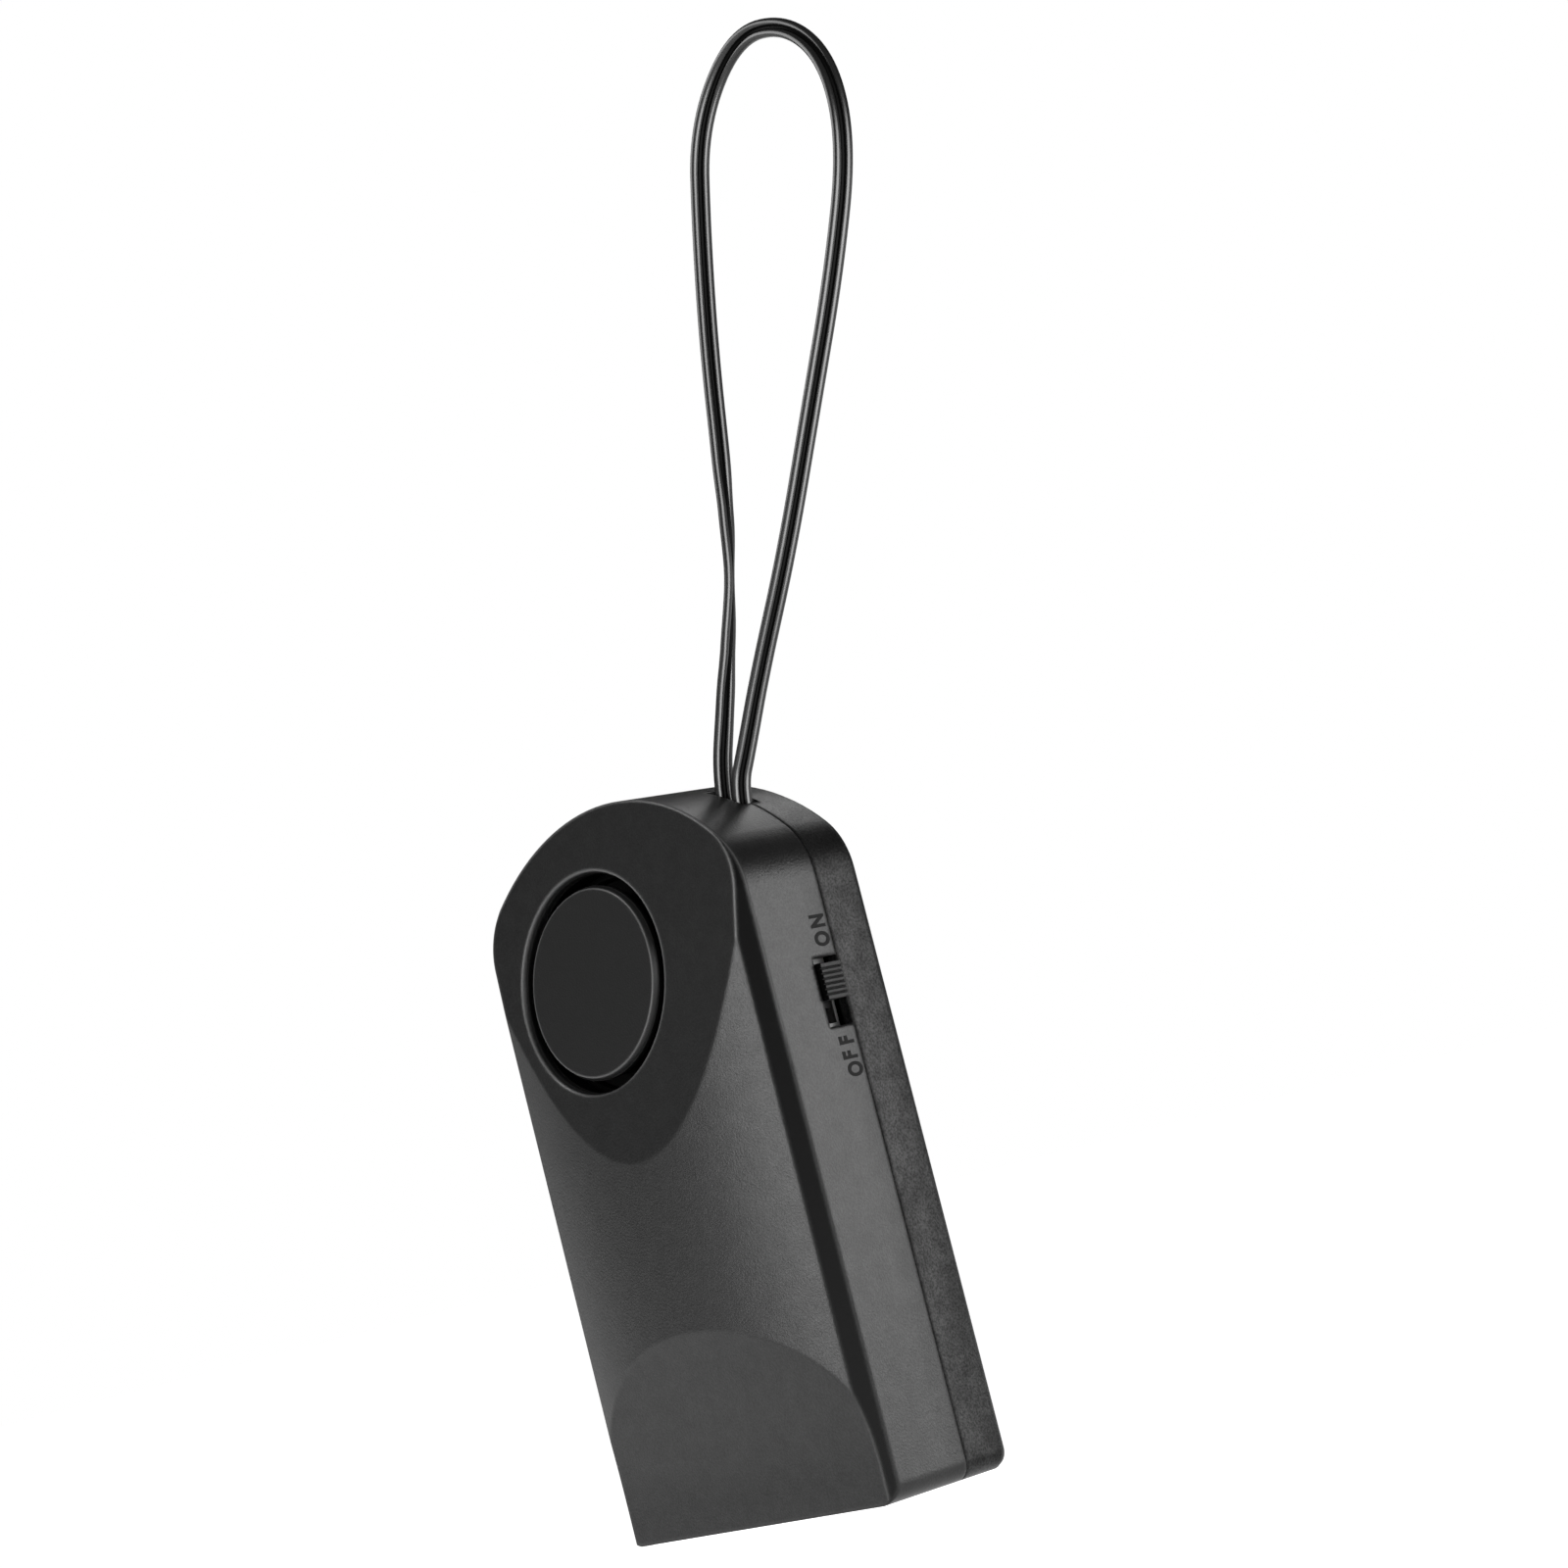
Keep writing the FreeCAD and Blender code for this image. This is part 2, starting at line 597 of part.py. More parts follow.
def make_rear_shell():
    """The rear shell: battery bay, door opening with its grooves, bosses and countersunk seats."""
    body = new_body("RearForm")
    shoulders = outline(body, "Rear", size(0), size(0), S["seam_depth"])
    seamed = bevel_seam(body, "RearSeamBevel", shoulders)
    broken = bevel_edges(
        body, "RearBevel", seamed, S["back_bevel"],
        lambda edge: edge.BoundBox.YMin > -0.01)
    inner_line = -S["back_bevel"].value
    bevel_edges(
        body, "RearEase", broken, S["back_ease"],
        lambda edge: edge.BoundBox.YLength < 0.01
        and (edge.BoundBox.YMin > -0.01 or abs(edge.BoundBox.YMin - inner_line) < 0.01))
    core = new_body("RearCore")
    outline(core, "RearCore", S["wall"], S["back_wall"], S["seam_depth"])
    hollow = cut("RearHollow", body, [core])
    depth = FRONT_FLAT - S["wall"] - 0.5
    inner = BAY_HALF
    outer = BAY_OUTER
    top = BAY_TOP
    lead_depth = S["lead_depth"]
    lead_gap = S["lead_gap"] / 2
    lead_reach = S["lead_x"] + lead_gap
    floor = S["wall"] + S["fit"]
    ribs = [
        box("BayLeft", (-outer, -inner), (-depth, -S["back_wall"] / 2), (floor, top + S["bay_wall"])),
        box("BayRight", (inner, outer), (-depth, -S["back_wall"] / 2), (floor, top + S["bay_wall"])),
        box("BayTop", (-outer, outer), (-S["bay_lid"], -S["back_wall"] / 2), (top, top + S["bay_wall"])),
    ]
    for number, (x, z) in enumerate(BOSSES):
        ribs.append(rod(
            f"RearBoss{number}", "y", S["boss_radius"], (x, -S["seam_depth"], z),
            S["seam_depth"] - S["back_wall"] / 2))
    gap = S["door_gap"]
    plate = DOOR_HALF + gap
    groove = DOOR_HALF + S["tongue_width"] + gap
    lip = S["door_thickness"] - S["tongue_thickness"] - gap
    seat = S["door_thickness"] + gap / 2
    holes = [
        box("DoorWay", (-plate, plate), (-seat, 1), (-REACH, DOOR_TOP + gap)),
        box("DoorGroove", (-groove, groove), (-seat, -lip), (-REACH, DOOR_TOP + gap)),
        box("BayMouth", (-inner, inner), (-S["back_wall"] - 1, 0), (S["wall"], top)),
        box("LeadGap", (-lead_reach, lead_reach), (-lead_depth - lead_gap, -lead_depth + lead_gap),
            (top - 1, top + S["bay_wall"] + 1)),
        cord_notch("RearNotch"),
    ]
    for number, (x, z) in enumerate(BOSSES):
        holes.append(rod(
            f"RearBore{number}", "y", S["screw_radius"] + 0.2, (x, -S["seam_depth"] - 1, z),
            S["seam_depth"] + 2))
        holes.append(rod(
            f"HeadRecess{number}", "y", S["head_radius"] + 0.3, (x, -S["head_seat"], z),
            S["head_seat"] + 1))
    publish(cut("RearShell", fuse("RearWhole", [hollow] + ribs), holes), "rear_shell")


def make_battery_door():
    """The battery door: a plate with two tongues, which slides down out of its grooves."""
    half = DOOR_HALF
    thick = S["door_thickness"]
    bottom = size(0.4)
    body = new_body("Door")
    plate = sketch_on(body, "XZ_Plane", "DoorOutline")
    trace(plate, block_outline(-half, half, bottom, DOOR_TOP))
    pad = extrude(body, "Pad", "DoorPad", plate, thick)
    wide = half + S["tongue_width"]
    tongues = sketch_on(body, "XZ_Plane", "TongueOutline", thick - S["tongue_thickness"])
    trace(tongues, block_outline(-wide, wide, bottom + 2, DOOR_TOP))
    extrude(body, "Pad", "TonguePad", tongues, S["tongue_thickness"])
    grip = sketch_on(body, "XZ_Plane", "GripOutline")
    step = 2.4
    first = DOOR_TOP - 12
    for number in range(5):
        low = first + number * step
        trace(grip, block_outline(size(-6), size(6), low, low + step / 2))
    pocket = extrude(body, "Pocket", "Grip", grip, size(0.5), reversed_way=True)
    round_edges(
        body, "DoorEnd", pocket, thick * 0.9,
        lambda edge: along(edge, Vector(1, 0, 0)) and edge.BoundBox.YMin > -0.01
        and edge.BoundBox.ZMax < bottom.value + 0.1)
    publish(body, "battery_door")


# The siren, made about its own axis: Z runs out of the facet, and Z = 0 is the facet

def siren_ring(body, name, inner, outer, front, back):
    """A ring or a disc between two depths behind the facet."""
    sketch = sketch_on(body, "XZ_Plane", f"{name}Half")
    trace(sketch, block_outline(inner, outer, -back, -front))
    return revolve(body, name, sketch)


def make_siren():
    """Cap, cup, sounder plate and its ceramic."""
    cap = new_body("SirenCap")
    skirt = SIREN_DISC - 0.8
    depth = S["cap_depth"]
    sketch = sketch_on(cap, "XZ_Plane", "CapHalf")
    trace(sketch, [
        (size(0), size(0)),
        (size(0), -S["disc_thickness"]),
        (skirt - S["skirt_wall"], -S["disc_thickness"]),
        (skirt - S["skirt_wall"], -depth),
        (skirt, -depth),
        (skirt, -S["disc_thickness"]),
        (SIREN_DISC, -S["disc_thickness"]),
        (SIREN_DISC, -S["edge_drop"]),
        (SIREN_DISC - S["disc_bevel"], size(0)),
    ])
    disc = revolve(cap, "CapDisc", sketch)
    spokes = sketch_on(cap, "XY_Plane", "SpokePlan", -depth)
    half = S["spoke_width"] / 2
    reach = RIM_OUTER - S["rim_wall"] / 2
    trace(spokes, [
        (skirt - S["skirt_wall"] / 2, -half),
        (reach, -half),
        (reach, half),
        (skirt - S["skirt_wall"] / 2, half),
    ])
    spoke = extrude(cap, "Pad", "Spoke", spokes, S["spoke_size"])
    pattern = cap.newObject("PartDesign::PolarPattern", "Spokes")
    pattern.Originals = [spoke]
    pattern.Axis = (sketch, ["V_Axis"])
    pattern.Angle = 360
    pattern.Occurrences = 2
    cap.Tip = pattern
    siren_ring(cap, "CapRim", RIM_OUTER - S["rim_wall"], RIM_OUTER, CAP_RIM_FRONT, depth)
    publish(cap, "siren_cap", SIREN_PLACE)

    cup = new_body("SirenCup")
    sketch = sketch_on(cup, "XZ_Plane", "CupHalf")
    inner = RIM_OUTER - S["cup_wall"]
    trace(sketch, [
        (RIM_OUTER, -depth),
        (inner, -depth),
        (inner, -CUP_LEDGE),
        (inner - S["ledge_width"], -CUP_LEDGE),
        (inner - S["ledge_width"], -depth - S["cup_depth"]),
        (RIM_OUTER, -depth - S["cup_depth"]),
    ])
    revolve(cup, "CupRing", sketch)
    publish(cup, "siren_cup", SIREN_PLACE)

    plate = new_body("SounderPlate")
    siren_ring(
        plate, "PlateDisc", size(0), inner - 0.2, CUP_LEDGE - S["plate_thickness"], CUP_LEDGE)
    publish(plate, "sounder_plate", SIREN_PLACE)

    ceramic = new_body("SounderCeramic")
    siren_ring(
        ceramic, "CeramicDisc", size(0), S["ceramic_radius"], CUP_LEDGE,
        CUP_LEDGE + S["ceramic_thickness"])
    publish(ceramic, "sounder_ceramic", SIREN_PLACE)


# The switch: it stands on the board and looks out of the right side

def make_switch():
    """Sheet metal frame, base, terminals and the ribbed knob."""
    sheet_metal = S["frame_sheet"]
    half_width = S["switch_width"] / 2
    half_length = S["switch_length"] / 2
    middle = SWITCH_MIDDLE
    depth = SWITCH_DEPTH
    low = FRAME_TOP - S["switch_rise"]
    window = (S["knob_length"] + S["knob_travel"]) / 2 + 0.25
    frame = cut(
        "SwitchFrame",
        box("FrameBlock", (low, FRAME_TOP), (-depth - half_width, -depth + half_width),
            (middle - half_length, middle + half_length)),
        [
            box("FrameRoom", (low - 1, FRAME_TOP - sheet_metal),
                (-depth - half_width + sheet_metal, -depth + half_width - sheet_metal),
                (middle - half_length + sheet_metal, middle + half_length - sheet_metal)),
            box("FrameWindow", (low, FRAME_TOP + 1),
                (-depth - S["knob_stem"] / 2 - 0.12, -depth + S["knob_stem"] / 2 + 0.12),
                (middle - window, middle + window)),
        ])
    publish(frame, "switch_frame")

    base_high = low + 1.4
    base = box(
        "SwitchBase", (low, base_high),
        (-depth - half_width + sheet_metal, -depth + half_width - sheet_metal),
        (middle - half_length + sheet_metal, middle + half_length - sheet_metal))
    publish(base, "switch_base")

    pins = []
    for number, step in enumerate((-2.5, 0.0, 2.5)):
        pins.append(box(
            f"SwitchPin{number}", (low - 0.6, low), (-depth - 0.3, -BOARD_FRONT),
            (middle + step - 0.4, middle + step + 0.4)))
    publish(group("SwitchPins", pins), "switch_terminals")

    knob = new_body("SwitchKnob")
    carriage_half = S["knob_length"] / 2 + 0.8
    carriage = sketch_on(knob, "XZ_Plane", "CarriageOutline", depth)
    trace(carriage, block_outline(
        base_high + 0.1, FRAME_TOP - sheet_metal - 0.1, KNOB_REST - carriage_half,
        KNOB_REST + carriage_half))
    extrude(knob, "Pad", "Carriage", carriage, S["switch_width"] - sheet_metal * 2 - 0.2, both_ways=True)
    face = HALF + S["knob_proud"]
    low_end = KNOB_REST - S["knob_length"] / 2
    high_end = KNOB_REST + S["knob_length"] / 2
    stem = sketch_on(knob, "XZ_Plane", "StemOutline", depth)
    trace(stem, block_outline(FRAME_TOP - sheet_metal - 0.2, FRAME_TOP + 1, low_end, high_end))
    extrude(knob, "Pad", "Stem", stem, S["knob_stem"], both_ways=True)
    grip = sketch_on(knob, "XZ_Plane", "KnobGripOutline", depth)
    trace(grip, block_outline(FRAME_TOP + 0.15, face, low_end, high_end))
    extrude(knob, "Pad", "KnobGrip", grip, S["knob_width"], both_ways=True)
    grooves = sketch_on(knob, "XZ_Plane", "GrooveOutline", depth)
    count = int(S["knob_ridges"].value)
    pitch = S["knob_length"] / count
    for number in range(1, count):
        centre = low_end + pitch * number
        trace(grooves, [
            (face + 0.1, centre - pitch * 0.3),
            (face + 0.1, centre + pitch * 0.3),
            (face - 0.35, centre),
        ])
    extrude(knob, "Pocket", "Grooves", grooves, S["knob_width"] + 1, both_ways=True)
    publish(knob, "switch_knob")


# The circuit board and what it carries

def make_board():
    """Board, chip, coil, capacitors, resistors and transistors."""
    half = BOARD_HALF
    bottom = BOARD_BOTTOM
    back = BOARD_BACK
    room = back - S["back_wall"]
    notch = CLAMP_X - CLAMP_REACH - S["clamp_clear"]
    body = new_body("Board")
    sketch = sketch_on(body, "XZ_Plane", "BoardOutline", back)
    trace(sketch, [
        (-half, bottom),
        (half, bottom),
        (half, CASE_HEIGHT - 19.2),
        (half - 3.2, CASE_HEIGHT - 13.2),
        (notch, CASE_HEIGHT - 11.6),
        (notch, CASE_HEIGHT - 6.0),
        (size(-9.6), CASE_HEIGHT - 6.0),
        (-half + 3.2, CASE_HEIGHT - 13.2),
        (-half, CASE_HEIGHT - 19.2),
    ])
    for x, z in POSTS:
        ring(sketch, x, z, S["board_screw"] + 0.15)
    extrude(body, "Pad", "BoardPad", sketch, S["board_thickness"])
    publish(body, "circuit_board")

    chip_x = size(-4.5)
    chip_z = bottom + 7.3
    chip = box("Chip", (chip_x - 4.9, chip_x + 4.9), (-back + 0.4, -back + 3.6), (chip_z - 3.2, chip_z + 3.2))
    publish(chip, "control_chip")
    legs = []
    for number in range(8):
        x = chip_x + (number % 4 - 1.5) * 2.54
        side = 1 if number < 4 else -1
        z = chip_z + side * 3.6
        legs.append(box(f"ChipLeg{number}", (x - 0.25, x + 0.25), (-back, -back + 2.0), (z - 0.3, z + 0.3)))
    publish(group("ChipLegs", legs), "chip_legs")

    coil_x = size(9.6)
    coil_z = bottom + 17.7
    core = fuse("CoilCore", [
        rod("CoilFoot", "y", size(3.8), (coil_x, -back, coil_z), size(0.7)),
        rod("CoilDrum", "y", size(1.6), (coil_x, -back, coil_z), size(3.8)),
        rod("CoilCap", "y", size(3.8), (coil_x, -back + 3.1, coil_z), size(0.7)),
    ])
    publish(core, "coil_core")
    winding = cut(
        "CoilWinding",
        rod("WindingOuter", "y", size(3.3), (coil_x, -back + 0.75, coil_z), size(2.3)),
        [rod("WindingBore", "y", size(1.65), (coil_x, -back, coil_z), size(4.0))])
    publish(winding, "coil_winding")

    can = rod("Can", "z", room * 0.45, (5.2 - half, -back + room * 0.45 + 0.05, bottom + 5.6), size(7.0))
    publish(can, "electrolytic_capacitor")

    transistors = []
    for number, z in enumerate((bottom + 11.7, bottom + 21.3)):
        transistors.append(common(
            f"Transistor{number}",
            rod(f"TransistorRound{number}", "z", size(2.3), (size(1.6), -back + 1.2, z), size(4.5)),
            box(f"TransistorFlat{number}", (-1, 4.2), (-back + 0.05, -back + 4), (z, z + 4.5))))
    publish(group("Transistors", transistors), "transistors")

    resistors = []
    for number in range(4):
        z = bottom + 14.5 + number * 2.8
        resistors.append(rod(
            f"Resistor{number}", "x", size(1.0), (size(-11.6), -back + 1.05, z), size(6.2)))
    publish(group("Resistors", resistors), "resistors")

    discs = []
    for number, z in enumerate((bottom + 7.1, bottom + 11.5)):
        discs.append(rod(
            f"DiscCapacitor{number}", "x", size(2.0), (size(8.2), -back + 2.05, z), size(1.5)))
    publish(group("DiscCapacitors", discs), "ceramic_capacitors")


# The battery, its snap connector and its pad

def make_battery():
    """Battery jacket, its two snaps, the snap connector and the foam pad."""
    half = S["battery_width"] / 2
    thick = S["battery_thickness"]
    body = new_body("Battery")
    sketch = sketch_on(body, "XY_Plane", "BatteryPlan", S["battery_base"])
    trace(sketch, block_outline(-half, half, -BATTERY_BACK - thick, -BATTERY_BACK))
    pad = extrude(body, "Pad", "BatteryPad", sketch, S["battery_body"])
    round_edges(body, "BatteryCorners", pad, size(2.2), lambda edge: along(edge, Vector(0, 0, 1)))
    publish(body, "battery_case")

    top = S["battery_base"] + S["battery_body"]
    spread = S["stud_spacing"] / 2
    studs = [
        rod("StudMale", "z", S["stud_small"], (-spread, -BATTERY_MIDDLE, top), S["stud_height"]),
        rod("StudFemale", "z", S["stud_large"], (spread, -BATTERY_MIDDLE, top), S["stud_height"]),
    ]
    publish(group("Studs", studs), "battery_terminals")

    snap = cut(
        "Snap",
        box("SnapBlock", (-half + 0.6, half - 0.6),
            (-BATTERY_MIDDLE - S["snap_depth"] / 2, -BATTERY_MIDDLE + S["snap_depth"] / 2),
            (SNAP_BASE, SNAP_BASE + S["snap_height"])),
        [
            rod("SnapPocketA", "z", S["stud_small"] + S["fit"], (-spread, -BATTERY_MIDDLE, top - 1),
                S["stud_height"] + 1 + S["fit"]),
            rod("SnapPocketB", "z", S["stud_large"] + S["fit"], (spread, -BATTERY_MIDDLE, top - 1),
                S["stud_height"] + 1 + S["fit"]),
        ])
    publish(snap, "snap_connector")

    pad_piece = box(
        "Pad", (-half + 1, half - 1), (-BATTERY_BACK - thick + 1, -BATTERY_BACK - 1),
        (S["wall"] + 0.05, S["battery_base"] - 0.05))
    publish(pad_piece, "battery_pad")


# Cords and leads

def rounded_path(points):
    """Straight runs joined by tangent arcs, each arc as large as its two runs allow. Returns the wire
    and the radii."""
    SHARE = 0.45
    edges = []
    radii = []
    last = points[0]
    for before, corner, after in zip(points, points[1:], points[2:]):
        inward = (before - corner).normalize()
        onward = (after - corner).normalize()
        reach = SHARE * min(corner.distanceToPoint(before), corner.distanceToPoint(after))
        half_angle = inward.getAngle(onward) / 2
        radius = reach * math.tan(half_angle)
        entry = corner + inward * reach
        leave = corner + onward * reach
        middle = corner + (inward + onward).normalize() * (reach / math.cos(half_angle) - radius)
        edges.append(Part.LineSegment(last, entry).toShape())
        edges.append(Part.Arc(entry, middle, leave).toShape())
        radii.append(radius)
        last = leave
    edges.append(Part.LineSegment(last, points[-1]).toShape())
    return Part.Wire(edges), radii


def make_tube(name, label, points, radius, sides):
    """A plain tube along a rounded path, checked against its section times its length. Its section has
    many flat sides, so that a long thin tube stays light."""
    path, radii = rounded_path(points)
    first = path.Edges[0]
    frame = Rotation(Vector(0, 0, 1), first.tangentAt(first.FirstParameter))
    corners = []
    for number in range(sides + 1):
        angle = math.tau * number / sides
        corners.append(points[0] + frame.multVec(Vector(math.cos(angle), math.sin(angle), 0) * radius))
    profile = Part.makePolygon(corners)
    tube = path.makePipeShell([profile], True, False)
    expected = sides / 2 * math.sin(math.tau / sides) * radius ** 2 * path.Length
    print(f"{label}: length {path.Length:.1f} mm, smallest radius {min(radii):.1f} mm,"
          f" radii {[round(item, 1) for item in radii]}, volume {tube.Volume / expected:.3f} of expected")
    item = doc.addObject("Part::Feature", name)
    item.Shape = tube
    publish(item, label)


def make_cord():
    """The sensor cord's loop, the clamp that holds its two ends, and their leads to the board."""
    route = [CORD_HOME + Vector(*point) for point in CORD_ROUTE]
    make_tube("SensorCord", "sensor_cord", route, S["cord_diameter"].value / 2, 10)
    low = CLAMP_TOP - S["clamp_height"]
    clamp = box(
        "CordClamp", (CLAMP_X - CLAMP_REACH, CLAMP_X + CLAMP_REACH),
        (-S["seam_depth"] - 2.2, -S["seam_depth"] + 2.2), (low, CLAMP_TOP))
    publish(clamp, "cord_clamp")
    leads = []
    thin = size(0.55)
    for number, side in enumerate((-1, 1)):
        lead = doc.addObject("Part::Prism", f"SensorLead{number}")
        lead.Polygon = 8
        bind(lead, "Circumradius", thin)
        bind(lead, "Height", size(4.3))
        bind(lead, "Placement.Base.x", CLAMP_X + side * (S["cord_pitch"] / 2))
        bind(lead, "Placement.Base.y", -BOARD_FRONT - thin - 0.05)
        bind(lead, "Placement.Base.z", low - 4.3)
        leads.append(lead)
    publish(group("SensorLeads", leads), "sensor_leads")


def make_leads():
    """Leads of the battery and of the sounder, from end to end."""
    radius = S["lead_radius"].value
    front = -BOARD_FRONT.value
    depth = -S["lead_depth"].value
    snap_top = (SNAP_BASE + S["snap_height"]).value
    for name, label, side in (("SnapRed", "snap_lead_red", -1), ("SnapBlack", "snap_lead_black", 1)):
        x = side * S["lead_x"].value
        make_tube(name, label, [
            Vector(x, depth, snap_top),
            Vector(x, depth, snap_top + 3.0),
            Vector(x, front - 1.4, snap_top + 6.5),
            Vector(x, front - radius - 0.05, snap_top + 10.0),
        ], radius, 8)
    axis = SIREN_PLACE.Rotation.multVec(Vector(0, 0, -1))
    behind = (CUP_LEDGE + S["ceramic_thickness"]).value
    rim = S["ceramic_radius"].value + 2.1
    for name, label, x, behind_plate in (
            ("SounderRed", "sounder_lead_red", 5.3, behind),
            ("SounderBlack", "sounder_lead_black", -rim, CUP_LEDGE.value)):
        start = SIREN_PLACE.multVec(Vector(x, -1.0, 0)) + axis * (behind_plate + 0.05)
        make_tube(name, label, [
            start,
            start + axis * 2.0,
            Vector(start.x, front - 2.8, start.z - 4.5),
            Vector(start.x, front - 0.25, start.z - 5.5),
        ], radius * 0.8, 8)


# Fasteners

def make_screws():
    """Self-tapping screws: four for the case and three for the board."""
    for label, name, places, seat, length, radius, head, height in (
            ("housing_screws", "CaseScrew", BOSSES, S["head_seat"], S["screw_length"], S["screw_radius"],
             S["head_radius"], S["head_height"]),
            ("board_screws", "BoardScrew", POSTS, BOARD_BACK, S["board_screw_length"], S["board_screw"],
             S["board_screw"] * 2, size(1.3))):
        screws = []
        for number, (x, z) in enumerate(places):
            body = new_body(f"{name}{number}")
            sketch = sketch_on(body, "XZ_Plane", f"{name}Half{number}")
            trace(sketch, [
                (size(0), -length),
                (radius, -length),
                (radius, size(0)),
                (head, size(0)),
                (head, height),
                (size(0), height),
            ])
            turned = revolve(body, f"{name}Turned{number}", sketch)
            cross = sketch_on(body, "XY_Plane", f"{name}Cross{number}", height - 0.7)
            arm, slim = head * 0.6, radius * 0.28
            trace(cross, [
                (-arm, -slim), (-slim, -slim), (-slim, -arm), (slim, -arm), (slim, -slim), (arm, -slim),
                (arm, slim), (slim, slim), (slim, arm), (-slim, arm), (-slim, slim), (-arm, slim),
            ])
            extrude(body, "Pocket", f"{name}Drive{number}", cross, height, reversed_way=True)
            body.Placement = Placement(
                Vector(x.value, -seat.value, z.value), Rotation(Vector(1, 0, 0), -90))
            screws.append(body)
        publish(group(f"{name}s", screws), label)


make_front_shell()
make_rear_shell()
make_battery_door()
make_siren()
make_switch()
make_board()
make_battery()
make_cord()
make_leads()
make_screws()
doc.recompute()

for item in doc.Objects:
    if "Invalid" in item.State or "Error" in item.State:
        raise RuntimeError(f"{item.Name} failed: {item.State}")
os.makedirs("parts", exist_ok=True)
for item in pieces:
    shape = item.Shape
    if shape.isNull() or not shape.isValid():
        raise RuntimeError(f"{item.Label} has no valid shape")
    shape.exportStep(f"parts/{item.Label}.step")
    print(f"{item.Label}: {len(shape.Solids)} solid(s), {shape.Volume:.1f} mm3")
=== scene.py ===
import bpy
import math
from mathutils import Matrix, Quaternion, Vector


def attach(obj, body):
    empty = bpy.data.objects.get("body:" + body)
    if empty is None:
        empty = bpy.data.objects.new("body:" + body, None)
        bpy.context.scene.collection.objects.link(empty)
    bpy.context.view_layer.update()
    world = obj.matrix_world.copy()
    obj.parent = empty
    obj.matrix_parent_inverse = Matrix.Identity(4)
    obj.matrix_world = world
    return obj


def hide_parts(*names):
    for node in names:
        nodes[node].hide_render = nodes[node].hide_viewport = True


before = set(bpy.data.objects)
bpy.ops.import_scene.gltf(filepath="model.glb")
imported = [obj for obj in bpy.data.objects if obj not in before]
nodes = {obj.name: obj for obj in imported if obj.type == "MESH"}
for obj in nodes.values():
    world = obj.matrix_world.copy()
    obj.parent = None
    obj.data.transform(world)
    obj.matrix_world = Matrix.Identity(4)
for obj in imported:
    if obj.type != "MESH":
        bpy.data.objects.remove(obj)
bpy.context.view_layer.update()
scene = bpy.context.scene

# The camera

CAMERA_PLACE = Vector((0.32733, -0.34335, -0.14268))
AZIMUTH = math.radians(45.97)
ELEVATION = math.radians(-6.083)
ROLL = math.radians(-14.378)
LENS = 88.53
SENSOR_WIDTH = 36
NEAREST_SEEN = 0.01

backward = Vector((
    math.sin(AZIMUTH) * math.cos(ELEVATION),
    -math.cos(AZIMUTH) * math.cos(ELEVATION),
    math.sin(ELEVATION)))
level = Vector((math.cos(AZIMUTH), math.sin(AZIMUTH), 0))
upward = backward.cross(level)
across = math.cos(ROLL) * level + math.sin(ROLL) * upward
aloft = -math.sin(ROLL) * level + math.cos(ROLL) * upward
camera_data = bpy.data.cameras.new("camera")
camera_data.lens = LENS
camera_data.sensor_width = SENSOR_WIDTH
camera_data.clip_start = NEAREST_SEEN
camera = bpy.data.objects.new("camera", camera_data)
camera.matrix_world = Matrix((
    (across.x, aloft.x, backward.x, CAMERA_PLACE.x),
    (across.y, aloft.y, backward.y, CAMERA_PLACE.y),
    (across.z, aloft.z, backward.z, CAMERA_PLACE.z),
    (0, 0, 0, 1)))
scene.collection.objects.link(camera)
scene.camera = camera
scene.view_settings.view_transform = "Standard"

# The sensor cord: a flat twin lead

CORD_HOME = Vector((-0.0287, -0.0087, -0.0949))
# The route's control points, seen from the cord's home in the case's notch
CORD_ROUTE = [
    (-0.0015, 0.0, 0.0),
    (-0.0015, 0.0, 0.0060),
    (0.0019, 0.0011, 0.0160),
    (0.0072, 0.0027, 0.0315),
    (0.0093, 0.0039, 0.0455),
    (0.0110, 0.0051, 0.0600),
    (0.0135, 0.0067, 0.0755),
    (0.0166, 0.0078, 0.0884),
    (0.0257, 0.0088, 0.0969),
    (0.0354, 0.0085, 0.0948),
    (0.0415, 0.0077, 0.0873),
    (0.0417, 0.0067, 0.0761),
    (0.0353, 0.0055, 0.0620),
    (0.0275, 0.0041, 0.0480),
    (0.0181, 0.0026, 0.0314),
    (0.0093, 0.0013, 0.0181),
    (0.0043, 0.0005, 0.0095),
    (0.0015, 0.0, 0.0049),
    (0.0015, 0.0, 0.0),
]
ROUTE_ORDER = 3
ROUTE_STEPS = 11                     # points between two control points
CORD_WIDTH = 0.0025
LOBE_RADIUS = 0.00057
WEB_THICKNESS = 0.0003
LOBE_POINTS = 18
# these groove faces take a darker, dull material as painted shade
GROOVE_FACES = 2                     # faces of each lobe that lie in the groove, on each side
FLAT_SIDE = Vector((0.715, -0.691, -0.106))     # where the flat side looks at a turn of 0
CREASE = math.radians(50)            # edges sharper than this stay sharp
# Part of the way along the cord, and the turn of its flat side there in degrees
CORD_TURNS = [
    (0.0, 0), (0.039, 0), (0.075, 20), (0.11, 55), (0.149, 82), (0.186, 52), (0.222, 20), (0.3, 14),
    (0.4, 10), (0.5, 0), (0.6, -14), (0.9, -14), (1.0, 0)]


